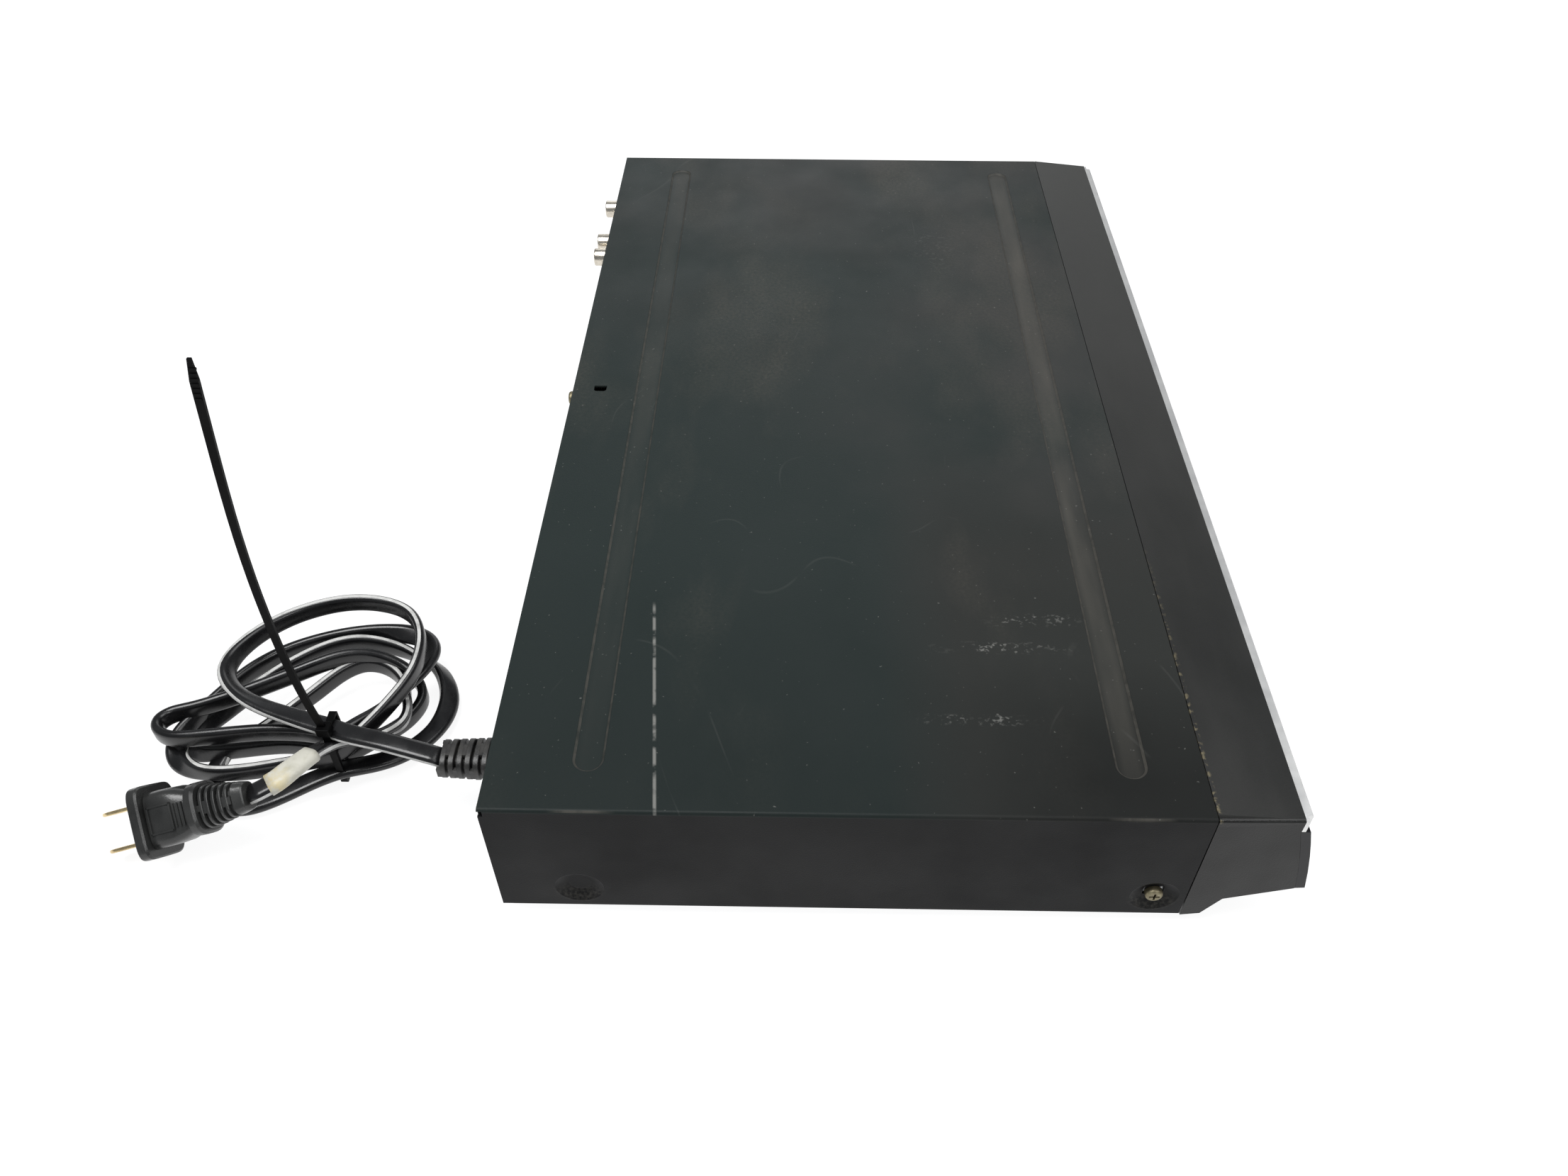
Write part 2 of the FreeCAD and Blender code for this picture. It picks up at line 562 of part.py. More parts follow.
def make_bezel():
    seam = SEAM_Y - SEAM_GAP
    seat = FRONT_PLATE_THICKNESS + SEATING_GAP
    outline = [(seam, TOP_Z), (SEAM_Y - BEZEL_TOP_FRONT[0], BEZEL_TOP_FRONT[1])]
    outline += [(SEAM_Y - BEZEL_TOP_FRONT[0], FACE_TOP[1] + 0.5)]
    outline += [(face_y(PLATE_TOP_HEIGHT, seat), PLATE_TOP_HEIGHT)]
    outline += [(face_y(z, seat), z) for z in (43.0, 35.0, 27.0, FACE_BOTTOM_HEIGHT)]
    outline += [(SEAM_Y - d, z) for d, z in (CHIN_FRONT, CHIN_START, BEZEL_FOOT_FRONT, BEZEL_FOOT_REAR)]
    outline[-4] = (face_y(FACE_BOTTOM_HEIGHT, FRONT_PLATE_THICKNESS) + 0.4, CHIN_FRONT[1])
    outer = side_prism(outline, -HALF_WIDTH, HALF_WIDTH).common(taper_plan(0, 0, TOP_Z + 1))
    top_sides = [e for e in outer.Edges if len(e.Vertexes) == 2 and abs(e.CenterOfMass.x) > HALF_WIDTH - 3
                 and e.CenterOfMass.z > BEZEL_TOP_FRONT[1] + 0.3 and e.Length > 20]
    outer = outer.makeFillet(1.0, top_sides)
    hollow_outline = [(SEAM_Y + 1, TOP_Z - BEZEL_WALL),
                      (SEAM_Y - BEZEL_TOP_FRONT[0] + BEZEL_WALL, BEZEL_TOP_FRONT[1] - BEZEL_WALL)]
    wall_depth = FRONT_PLATE_THICKNESS + FRONT_WALL
    hollow_outline += [(face_y(z, wall_depth), z) for z in (50.0, 43.0, 35.0, 27.0, 19.0)]
    hollow_outline += [(face_y(19.0, wall_depth) + 2.5, CHIN_FRONT[1] - 0.7 + BEZEL_WALL),
                       (SEAM_Y - CHIN_START[0] - 2.2, CHIN_START[1] + BEZEL_WALL),
                       (SEAM_Y - BEZEL_FOOT_FRONT[0] + 1.0, BEZEL_FOOT_FRONT[1] + BEZEL_WALL),
                       (SEAM_Y + 1, BEZEL_FOOT_REAR[1] + BEZEL_WALL)]
    hollow = side_prism(hollow_outline, -HALF_WIDTH, HALF_WIDTH).common(taper_plan(BEZEL_WALL, 0, TOP_Z))
    bezel = outer.cut(hollow)
    lip_half = HALF_WIDTH - 12
    lip = box(-lip_half, lip_half, SEAM_Y - 6, SEAM_Y + BEZEL_LIP, LID_UNDER - 1.6, LID_UNDER)
    lip_room = box(-HALF_WIDTH, HALF_WIDTH, SEAM_Y - 6, SEAM_Y - SEAM_GAP - 2, LID_UNDER - 0.2, LID_UNDER + 1)
    lip = lip.cut(lip_room)
    bezel = bezel.fuse(lip)
    for x in (-HALF_WIDTH + 30, -HALF_WIDTH * 0.3, HALF_WIDTH * 0.35, HALF_WIDTH - 30):
        bezel = bezel.fuse(box(x - 8, x + 8, seam - 4, SEAM_Y + BEZEL_LIP, PAN_TOP, PAN_TOP + 1.8))
    y0 = SEAM_Y - BEZEL_DEPTH
    y1 = SEAM_Y - FRONT_WALL_ZONE
    tray_half = TRAY_FACE_HALF + 1.5
    tray_low = TRAY_FACE_BOTTOM - 0.4
    tray_high = TRAY_FACE_TOP + 0.3
    openings = [box(DRIVE_X - tray_half, DRIVE_X + tray_half, y0, y1, tray_low, tray_high)]
    w0, w1 = window_span()
    openings.append(box(w0 + 3, w1 - 3, y0, y1, WINDOW_BOTTOM + 1.5, WINDOW_TOP - 1.5))
    f0, f1 = flap_span()
    openings.append(box(f0 + 3, f1 - 3, y0, y1, FLAP_BOTTOM + 1.2, FLAP_TOP - 0.8))
    for place in button_places().values():
        x, z = place[:2]
        openings.append(rod(BUTTON_STEM_RADIUS + MOVING_GAP, (x, y0, z), (x, y1, z)))
    bezel = bezel.cut(Part.Compound(openings))
    pivot_y = flap_pivot_y()
    relief = box(f0 - 1, f1 + 1, pivot_y - 3, pivot_y + 2.2, FLAP_PIVOT_Z - 2.2, FLAP_PIVOT_Z + 2.2)
    bezel = bezel.cut(relief)
    front_wall = face_y(29.5, wall_depth) - 0.5
    for x in (-HALF_WIDTH + 24, HALF_WIDTH - 24, -HALF_WIDTH + 92, DRIVE_X + 98):
        bezel = bezel.fuse(box(x - 2, x + 2, front_wall, FRONT_BOARD_Y - BOARD_THICKNESS, 28.5, 31.0))
    save("front_bezel", bezel)


def window_span():
    return HALF_WIDTH - 215 + WINDOW_FROM_CENTRE[0], HALF_WIDTH - 215 + WINDOW_FROM_CENTRE[1]


def flap_span():
    return HALF_WIDTH - 215 + FLAP_FROM_CENTRE[0], HALF_WIDTH - 215 + FLAP_FROM_CENTRE[1]


def flap_pivot_y():
    return face_y(FLAP_PIVOT_Z, FRONT_PLATE_THICKNESS / 2)


def button_places():
    shift = 215 - HALF_WIDTH
    places = {"power_button": (POWER_BUTTON[0] + shift,) + POWER_BUTTON[1:], "eject_button": EJECT_BUTTON}
    for i, name in enumerate(KEY_NAMES):
        places[name] = (KEY_ROW_START + shift + i * KEY_ROW_PITCH, KEY_ROW_HEIGHT, KEY_WIDTH, KEY_HEIGHT)
    return places


def make_front_plate():
    plate = face_slab(0, FRONT_PLATE_THICKNESS, FACE_BOTTOM_HEIGHT, PLATE_TOP_HEIGHT)
    plate = plate.common(taper_plan(0, 0, TOP_Z))
    y0 = SEAM_Y - 50
    tray_half = TRAY_FACE_HALF + MOVING_GAP
    tray_low = TRAY_FACE_BOTTOM - MOVING_GAP
    tray_high = TRAY_FACE_TOP + MOVING_GAP
    cuts = [box(DRIVE_X - tray_half, DRIVE_X + tray_half, y0, SEAM_Y, tray_low, tray_high)]
    w0, w1 = window_span()
    cuts.append(box(w0, w1, y0, SEAM_Y, WINDOW_BOTTOM, WINDOW_TOP))
    f0, f1 = flap_span()
    cuts.append(box(f0, f1, y0, SEAM_Y, FLAP_BOTTOM, FLAP_TOP))
    for x, z, width, height in button_places().values():
        half_wide = width / 2 + MOVING_GAP
        half_high = height / 2 + MOVING_GAP
        cuts.append(box(x - half_wide, x + half_wide, y0, SEAM_Y, z - half_high, z + half_high))
    pin_reach = FLAP_PIN_REACH
    bore_reach = pin_reach + 0.4
    pivot = (flap_pivot_y(), FLAP_PIVOT_Z)
    cuts.append(rod(FLAP_PIN_RADIUS + SPIN_CLEARANCE, (f0 - bore_reach, *pivot), (f1 + bore_reach, *pivot)))
    plate = plate.cut(Part.Compound(cuts))
    save("front_plate", plate)
    window = face_slab(0.0, FRONT_PLATE_THICKNESS, WINDOW_BOTTOM, WINDOW_TOP, w0, w1)
    save("display_window", window)
    flap_x0 = f0 + MOVING_GAP
    flap_x1 = f1 - MOVING_GAP
    flap = face_slab(0.0, FRONT_PLATE_THICKNESS, FLAP_PIVOT_Z, FLAP_TOP - MOVING_GAP, flap_x0, flap_x1)
    swing_room = FLAP_TOP - FLAP_PIVOT_Z - MOVING_GAP
    flap = flap.common(rod(swing_room, (flap_x0, *pivot), (flap_x1, *pivot)))
    hem = rod(FLAP_EDGE_RADIUS, (flap_x0, *pivot), (flap_x1, *pivot))
    pins = rod(FLAP_PIN_RADIUS, (f0 - pin_reach, *pivot), (f1 + pin_reach, *pivot))
    grip = box(f1 - 22, f1 - 10, face_y(FLAP_TOP) - 2, face_y(FLAP_TOP) + 1.2, FLAP_TOP - 1.6, FLAP_TOP + 1)
    flap = fuse(flap, hem, pins).cut(grip)
    save("av_flap", flap)
    tray_face = face_slab(0.0, FRONT_PLATE_THICKNESS, TRAY_FACE_BOTTOM, TRAY_FACE_TOP,
                          DRIVE_X - TRAY_FACE_HALF, DRIVE_X + TRAY_FACE_HALF)
    save("tray_fascia", tray_face)


def make_trim():
    def strip(d0, d1, end_step):
        y0 = SEAM_Y - d1
        y1 = SEAM_Y - d0
        bar = box(-HALF_WIDTH, HALF_WIDTH, y0, y1, TRIM_BOTTOM_HEIGHT, TRIM_TOP_HEIGHT)
        return bar.common(taper_plan(end_step, 0, TOP_Z))
    back = strip(BEZEL_TOP_FRONT[0], TRIM_SPLIT, 0.0)
    front = strip(TRIM_SPLIT, TRIM_FRONT, TRIM_END_STEP)
    front_y = SEAM_Y - TRIM_FRONT
    long_top = [e for e in front.Edges if e.Length > HALF_WIDTH and e.CenterOfMass.y < front_y + 0.1]
    front = front.makeFillet(0.7, long_top)
    save("silver_trim", back, front)


def make_buttons():
    for name, (x, z, width, height) in button_places().items():
        back = FRONT_PLATE_THICKNESS - BUTTON_TRAVEL - MOVING_GAP
        cap = face_slab(-BUTTON_PROUD, back, z - height / 2, z + height / 2, x - width / 2, x + width / 2)
        stem_end = face_y(z, FRONT_PLATE_THICKNESS + FRONT_WALL) + BUTTON_STEM_REACH
        stem = rod(BUTTON_STEM_RADIUS, (x, face_y(z, back / 2), z), (x, stem_end, z))
        save(name, cap.fuse(stem))


def make_front_board():
    y0 = FRONT_BOARD_Y - BOARD_THICKNESS
    left = -HALF_WIDTH + 9
    right = HALF_WIDTH - 9
    board = box(left, right, y0, FRONT_BOARD_Y, FRONT_BOARD_BOTTOM, FRONT_BOARD_TOP)
    power_x = button_places()["power_button"][0]
    board = board.fuse(box(left, power_x + 14, y0, FRONT_BOARD_Y, FRONT_BOARD_TOP - 1, 49))
    w0, w1 = window_span()
    eject_x = EJECT_BUTTON[0]
    board = board.fuse(box(eject_x - 10, w1 + 4, y0, FRONT_BOARD_Y, FRONT_BOARD_TOP - 1, 49))
    switches = []
    for place in button_places().values():
        x, z = place[:2]
        tip = face_y(z, FRONT_PLATE_THICKNESS + FRONT_WALL) + BUTTON_STEM_REACH + BUTTON_FROM_SWITCH
        body = box(x - 3, x + 3, tip + 1.0, y0, z - 3, z + 3)
        switches.append(body.fuse(rod(1.6, (x, tip, z), (x, tip + 1.2, z))).removeSplitter())
    save("front_board", board.removeSplitter(), *switches)
    tube = box(w0 + 8, w1 - 8, y0 - 5.4, y0, WINDOW_BOTTOM + 1, WINDOW_TOP - 1)
    tip_seal = rod(1.5, (w0 + 6, y0 - 2.7, 42), (w0 + 8, y0 - 2.7, 42))
    save("display_tube", tube.fuse(tip_seal))
    socket_tip = SEAM_Y - FRONT_SOCKET_TIP_FROM_SEAM
    barrels = []
    shift = HALF_WIDTH - 215
    xs = [x + shift for x in FRONT_SOCKETS_FROM_CENTRE]
    s_x = xs[-1] + 24
    level = FRONT_SOCKET_HEIGHT
    block_y = socket_tip + 3.0
    block = box(xs[0] - 8, s_x + 8, block_y, y0, level - 5.0, level + 5.0)
    for x in xs:
        place = (x, socket_tip, level)
        barrels.append(ring(4.15, 3.5, place, (x, block_y, level)))
        block = block.cut(rod(SOCKET_PIN_RADIUS, place, (x, y0 - 1, level)))
    s_body = ring(4.8, 4.0, (s_x, socket_tip + 0.5, level), (s_x, block_y, level))
    save("front_sockets", block, s_body, *barrels)


# Disc loader

def make_drive_frame():
    half = DRIVE_WIDTH / 2
    x0 = DRIVE_X - half
    x1 = DRIVE_X + half
    low = PAN_TOP + 2.5
    solids = []
    for side in (-1, 1):
        outer = DRIVE_X + side * half
        inner = DRIVE_X + side * (half - DRIVE_WALL)
        wall_x = (min(outer, inner), max(outer, inner))
        solids.append(box(*wall_x, DRIVE_FRONT, DRIVE_REAR, low, DRIVE_LID_HEIGHT))
        ledge_in = DRIVE_X + side * (TRAY_HALF_WIDTH + 1.5)
        rail_x = (min(inner, ledge_in), max(inner, ledge_in))
        ledge = TRAY_BOTTOM - MOVING_GAP
        solids.append(box(*rail_x, DRIVE_FRONT + 2, DRIVE_REAR, ledge - 2.0, ledge))
        upper = TRAY_BOTTOM + 1.5 + MOVING_GAP
        solids.append(box(*rail_x, DRIVE_FRONT + 2, DRIVE_REAR, upper, upper + 1.5))
        for y in (DRIVE_FRONT + 8, DRIVE_REAR - 20):
            foot_x = (min(inner, inner - side * 10), max(inner, inner - side * 10))
            solids.append(box(*foot_x, y, y + 10, PAN_TOP, DRIVE_FLOOR_HEIGHT + 2))
    floor_rear = SPINDLE_Y - TRAVERSE_FRONT - 1
    solids.append(box(x0, x1, DRIVE_FRONT, floor_rear, DRIVE_FLOOR_HEIGHT, DRIVE_FLOOR_HEIGHT + 2))
    solids.append(box(x0, x1, DRIVE_REAR - DRIVE_WALL, DRIVE_REAR, low, TRAY_BOTTOM - 4))
    bar_y = HINGE_Y + 8
    solids.append(box(x0, x1, bar_y, bar_y + 4, DRIVE_FLOOR_HEIGHT, HINGE_Z + 6))
    ear_in = TRAVERSE_HALF_WIDTH + 1.5
    for side in (-1, 1):
        a = DRIVE_X + side * ear_in
        b = DRIVE_X + side * (ear_in + 3)
        solids.append(box(min(a, b), max(a, b), HINGE_Y - 4, bar_y + 1, HINGE_Z - 6, HINGE_Z + 6))
    pad_y = SPINDLE_Y - TRAVERSE_FRONT - 5
    pad_top = TRAVERSE_LEVEL - MOVING_GAP
    solids.append(box(DRIVE_X - 10, DRIVE_X + 10, pad_y, pad_y + 4, DRIVE_FLOOR_HEIGHT + 1, pad_top))
    frame = solids[0]
    frame = frame.multiFuse(solids[1:])
    tray_gear_x, pulley_x, motor_x, gear_y = gear_line()
    for x, top in ((tray_gear_x, TRAY_BOTTOM - 0.6), (pulley_x, 33.2)):
        frame = frame.fuse(rod(GEAR_POST_RADIUS, (x, gear_y, DRIVE_FLOOR_HEIGHT + 1), (x, gear_y, top)))
    frame = frame.fuse(rod(3.2, (tray_gear_x, gear_y, DRIVE_FLOOR_HEIGHT + 1), (tray_gear_x, gear_y, 26.2)))
    floor = DRIVE_FLOOR_HEIGHT
    frame = frame.cut(rod(2.2, (motor_x, gear_y, floor - 1), (motor_x, gear_y, floor + 3)))
    hinge_hole = rod(TRAVERSE_PIN_RADIUS + SPIN_CLEARANCE, (DRIVE_X - ear_in - 4, HINGE_Y, HINGE_Z),
                     (DRIVE_X + ear_in + 4, HINGE_Y, HINGE_Z))
    frame = frame.cut(hinge_hole)
    save("drive_frame", frame.removeSplitter())
    lid = box(x0, x1, DRIVE_FRONT, DRIVE_REAR, DRIVE_LID_HEIGHT, DRIVE_LID_HEIGHT + PAN_SHEET)
    lid = lid.cut(rod(15, (DRIVE_X, SPINDLE_Y, 40), (DRIVE_X, SPINDLE_Y, 60)))
    for side in (-1, 1):
        window_x = DRIVE_X + side * 45
        window = box(window_x - 14, window_x + 14, SPINDLE_Y - 35, SPINDLE_Y + 35, 40, 60)
        lid = lid.cut(window)
    save("drive_lid", lid)


def gear_line():
    """X of the tray gear, pulley gear and motor pulley, and their common Y."""
    tray_gear_x = DRIVE_X - RACK_OFFSET + MODULE * TRAY_GEAR_TEETH / 2
    pulley_x = tray_gear_x + MODULE * (TRAY_GEAR_TEETH + PULLEY_GEAR_TEETH) / 2
    return tray_gear_x, pulley_x, pulley_x + BELT_CENTRES, DRIVE_FRONT + GEAR_LINE_FROM_DRIVE_FRONT


def make_tray():
    rear = SPINDLE_Y + TRAY_REAR_FROM_SPINDLE
    front = SEAM_Y - BEZEL_DEPTH
    x0 = DRIVE_X - TRAY_HALF_WIDTH
    x1 = DRIVE_X + TRAY_HALF_WIDTH
    tray = box(x0, x1, front, rear, TRAY_BOTTOM, TRAY_TOP)
    tray = tray.fuse(box(x0 - TRAY_RAIL, x1 + TRAY_RAIL, DRIVE_FRONT, rear, TRAY_BOTTOM, TRAY_BOTTOM + 1.5))
    centre = (DRIVE_X, SPINDLE_Y)
    tray = tray.cut(rod(DISC_POCKET_RADIUS, (*centre, TRAY_DISC_LEVEL), (*centre, 60)))
    tray = tray.cut(rod(SMALL_DISC_RADIUS, (*centre, TRAY_DISC_LEVEL - 1), (*centre, 60)))
    tray = tray.cut(rod(TRAY_SLOT_HALF, (*centre, 30), (*centre, 60)))
    tray = tray.cut(box(DRIVE_X - TRAY_SLOT_HALF, DRIVE_X + TRAY_SLOT_HALF, SPINDLE_Y, rear + 1, 30, 60))
    for side in (-1, 1):
        notch_x = DRIVE_X + side * 46
        notch_y = SPINDLE_Y - 46
        tray = tray.cut(rod(9, (notch_x, notch_y, TRAY_DISC_LEVEL - 1), (notch_x, notch_y, 60)))
        pocket_x = DRIVE_X + side * 44
        pocket = box(pocket_x - 16, pocket_x + 16, SPINDLE_Y + 66, rear - 4, TRAY_BOTTOM + 1.5, 60)
        tray = tray.cut(pocket)
    gear_y = gear_line()[3]
    rack_x = DRIVE_X - RACK_OFFSET
    rack_end = gear_y + TRAY_TRAVEL + 6
    teeth = rack(rack_x, rack_x - 4.5, gear_y - 6, rack_end, gear_y, TRAY_FACE_BOTTOM + 0.6, TRAY_BOTTOM)
    tray = tray.fuse(teeth)
    ahead = face_slab(-20, FRONT_PLATE_THICKNESS + SEATING_GAP, 30, 56)
    tray = tray.cut(ahead).removeSplitter()
    save("disc_tray", tray)


def make_loader_gears():
    tray_gear_x, pulley_x, motor_x, gear_y = gear_line()
    bore = GEAR_POST_RADIUS + SPIN_CLEARANCE
    wheel = gear(TRAY_GEAR_TEETH, tray_gear_x, gear_y, 26.5, TRAY_BOTTOM - MOVING_GAP, 180, bore)
    save("tray_gear", wheel)
    half_pitch = 180 / PULLEY_GEAR_TEETH
    pinion = gear(PULLEY_GEAR_TEETH, pulley_x, gear_y, 25.4, 32.8, 180 + half_pitch, bore)
    wheel = ring(PULLEY_RADIUS + 0.8, bore, (pulley_x, gear_y, 20.6), (pulley_x, gear_y, 25.4))
    groove = ring(PULLEY_RADIUS + 3, PULLEY_RADIUS - BELT_THICKNESS - 0.1,
                  (pulley_x, gear_y, 21.8), (pulley_x, gear_y, 24.2))
    save("pulley_gear", wheel.cut(groove).fuse(pinion).removeSplitter())
    rim = rod(MOTOR_PULLEY_RADIUS + 0.8, (motor_x, gear_y, 20.8), (motor_x, gear_y, 25.2))
    groove = ring(MOTOR_PULLEY_RADIUS + 3, MOTOR_PULLEY_RADIUS - BELT_THICKNESS - 0.1,
                  (motor_x, gear_y, 21.8), (motor_x, gear_y, 24.2))
    shaft = rod(MOTOR_SHAFT_RADIUS, (motor_x, gear_y, DRIVE_FLOOR_HEIGHT - 4), (motor_x, gear_y, 21))
    save("motor_pulley", rim.cut(groove).fuse(shaft).removeSplitter())
    motor_top = DRIVE_FLOOR_HEIGHT
    motor_low = motor_top - LOADING_MOTOR_HEIGHT
    motor = rod(LOADING_MOTOR_RADIUS, (motor_x, gear_y, motor_low), (motor_x, gear_y, motor_top))
    shaft_room = rod(MOTOR_SHAFT_RADIUS + SPIN_CLEARANCE, (motor_x, gear_y, motor_top - 4.3),
                     (motor_x, gear_y, motor_top + 1))
    motor = motor.cut(shaft_room)
    save("loading_motor", motor)
    inside = belt_loop(pulley_x, motor_x, gear_y, -BELT_THICKNESS, 21, 25)
    save("drive_belt", belt_loop(pulley_x, motor_x, gear_y, 0, 22.0, 24.0).cut(inside))


def belt_loop(x_big, x_small, y, grow, z0, z1):
    """Solid inside a belt line laid round the two pulleys."""
    r1 = PULLEY_RADIUS + grow
    r2 = MOTOR_PULLEY_RADIUS + grow
    tilt = math.acos((r1 - r2) / (x_small - x_big))
    a = V(x_big + r1 * math.cos(tilt), y + r1 * math.sin(tilt), z0)
    b = V(x_small + r2 * math.cos(tilt), y + r2 * math.sin(tilt), z0)
    c = V(b.x, 2 * y - b.y, z0)
    d = V(a.x, 2 * y - a.y, z0)
    edges = [Part.LineSegment(a, b).toShape(), Part.Arc(b, V(x_small + r2, y, z0), c).toShape(),
             Part.LineSegment(c, d).toShape(), Part.Arc(d, V(x_big - r1, y, z0), a).toShape()]
    return Part.Face(Part.Wire(edges)).extrude(V(0, 0, z1 - z0))


def make_traverse():
    front = SPINDLE_Y - TRAVERSE_FRONT
    rear = HINGE_Y + 2
    top = TRAVERSE_LEVEL + TRAVERSE_SHEET
    half = TRAVERSE_HALF_WIDTH
    plate = box(DRIVE_X - half, DRIVE_X + half, front, rear, TRAVERSE_LEVEL, top)
    plate = plate.fuse(box(DRIVE_X - 8, DRIVE_X + 8, front - 4, front + 1, TRAVERSE_LEVEL, top))
    for side in (-1, 1):
        a = DRIVE_X + side * (half - 1)
        b = DRIVE_X + side * (half + 4.5)
        pin = rod(TRAVERSE_PIN_RADIUS, (min(a, b), HINGE_Y, HINGE_Z), (max(a, b), HINGE_Y, HINGE_Z))
        plate = plate.fuse(pin)
    rod_front = SPINDLE_Y + SLED_FRONT - 4
    rod_rear = SPINDLE_Y + SLED_REAR + SLED_TRAVEL + 6
    for offset in GUIDE_ROD_OFFSETS:
        x = DRIVE_X + offset
        for y in (rod_front, rod_rear):
            plate = plate.fuse(box(x - 2.2, x + 2.2, y - 1.5, y + 1.5, top, GUIDE_ROD_LEVEL + 2.0))
    window_rear = SPINDLE_Y + SLED_REAR + SLED_TRAVEL
    plate = plate.cut(box(DRIVE_X - 18, DRIVE_X + 14, SPINDLE_Y + SLED_FRONT, window_rear, 20, 28))
    plate = plate.cut(rod(2.0, (DRIVE_X, SPINDLE_Y, 20), (DRIVE_X, SPINDLE_Y, 30)))
    gear_x, gear_y, pinion_y = sled_gear_places()
    plate = plate.cut(rod(1.6, (gear_x, pinion_y, 20), (gear_x, pinion_y, 30)))
    rods = []
    for offset in GUIDE_ROD_OFFSETS:
        start = (DRIVE_X + offset, rod_front - 0.9, GUIDE_ROD_LEVEL)
        end = (DRIVE_X + offset, rod_rear + 0.9, GUIDE_ROD_LEVEL)
        rods.append(rod(GUIDE_ROD_RADIUS, start, end))
    plate = plate.cut(Part.Compound(rods))
    plate = plate.fuse(rod(GEAR_POST_RADIUS, (gear_x, gear_y, TRAVERSE_LEVEL), (gear_x, gear_y, 31.2)))
    save("traverse_plate", plate.removeSplitter())
    save("guide_rods", *rods)
    motor_low = TRAVERSE_LEVEL - SPINDLE_MOTOR_HEIGHT
    motor = rod(SPINDLE_MOTOR_RADIUS, (DRIVE_X, SPINDLE_Y, motor_low), (DRIVE_X, SPINDLE_Y, TRAVERSE_LEVEL))
    bore = MOTOR_SHAFT_RADIUS + SPIN_CLEARANCE
    motor = motor.cut(rod(bore, (DRIVE_X, SPINDLE_Y, 20), (DRIVE_X, SPINDLE_Y, 30)))
    sled_motor = rod(6.5, (gear_x, pinion_y, TRAVERSE_LEVEL - 9), (gear_x, pinion_y, TRAVERSE_LEVEL))
    sled_motor = sled_motor.cut(rod(bore, (gear_x, pinion_y, 21), (gear_x, pinion_y, 26)))
    save("traverse_motors", motor, sled_motor)
    half_pitch = 180 / SLED_PINION_TEETH
    low = top + MOVING_GAP
    post_bore = GEAR_POST_RADIUS + SPIN_CLEARANCE
    high = SLED_GEAR_TOP
    save("sled_gear", gear(SLED_GEAR_TEETH, gear_x, gear_y, low, high, 180, post_bore))
    pinion = gear(SLED_PINION_TEETH, gear_x, pinion_y, low, high, -90 + half_pitch, MOTOR_SHAFT_RADIUS)
    shaft = rod(MOTOR_SHAFT_RADIUS, (gear_x, pinion_y, 21.3), (gear_x, pinion_y, 31.0))
    save("sled_pinion", pinion.fuse(shaft).removeSplitter())


def sled_gear_places():
    gear_x = DRIVE_X + SLED_RACK_OFFSET + MODULE * SLED_GEAR_TEETH / 2
    gear_y = SPINDLE_Y + SLED_GEAR_FROM_SPINDLE
    return gear_x, gear_y, gear_y + MODULE * (SLED_GEAR_TEETH + SLED_PINION_TEETH) / 2


def make_spindle_and_sled():
    centre = (DRIVE_X, SPINDLE_Y)
    table = rod(TURNTABLE_RADIUS, (*centre, TURNTABLE_TOP - 1.6), (*centre, TURNTABLE_TOP))
    boss = rod(4.5, (*centre, TURNTABLE_TOP - 5), (*centre, TURNTABLE_TOP - 1.6))
    cone = Part.makeCone(7.4, 5.6, 1.6, V(*centre, TURNTABLE_TOP), V(0, 0, 1))
    shaft = rod(1.0, (*centre, 20.5), (*centre, TURNTABLE_TOP))
    pad = ring(TURNTABLE_RADIUS - 0.5, 11.5, (*centre, TURNTABLE_TOP), (*centre, TURNTABLE_TOP + 0.4))
    save("turntable", fuse(table, boss, cone, shaft, pad))
    body = rod(13.0, (*centre, CLAMPER_BOTTOM), (*centre, DRIVE_LID_HEIGHT + 1.3))
    flange = rod(17.5, (*centre, DRIVE_LID_HEIGHT + 1.3), (*centre, DRIVE_LID_HEIGHT + 2.9))
    dish = rod(8.5, (*centre, 40), (*centre, CLAMPER_BOTTOM + 1.2))
    save("disc_clamper", fuse(body, flange).cut(dish))
    y0 = SPINDLE_Y + SLED_FRONT
    y1 = SPINDLE_Y + SLED_REAR
    low = TRAVERSE_LEVEL + TRAVERSE_SHEET + 0.4
    sled = box(DRIVE_X - 28, DRIVE_X + 20, y0, y1, low, SLED_TOP)
    sled = sled.fuse(box(DRIVE_X - 13, DRIVE_X + 12, y0 + 2, y1 - 3, SLED_TOP, SLED_TOP + 2.2))
    for offset in GUIDE_ROD_OFFSETS:
        x = DRIVE_X + offset
        sled = sled.cut(rod(GUIDE_ROD_RADIUS + SPIN_CLEARANCE, (x, y0 - 1, GUIDE_ROD_LEVEL),
                            (x, y1 + 1, GUIDE_ROD_LEVEL)))
    gear_y = sled_gear_places()[1]
    rack_x = DRIVE_X + SLED_RACK_OFFSET
    teeth = rack(rack_x, rack_x - 3.5, gear_y - SLED_TRAVEL - 4.5, gear_y + 4.5, gear_y, low, 30.4)
    save("laser_sled", sled.fuse(teeth).removeSplitter())
    lens_y = y0 + 8
    lens = rod(3.2, (DRIVE_X, lens_y, SLED_TOP + 2.2), (DRIVE_X, lens_y, SLED_TOP + 3.6))
    dome = Part.makeSphere(4.0, V(DRIVE_X, lens_y, SLED_TOP + 1.6))
    save("objective_lens", lens.common(dome).removeSplitter())


# Electronics

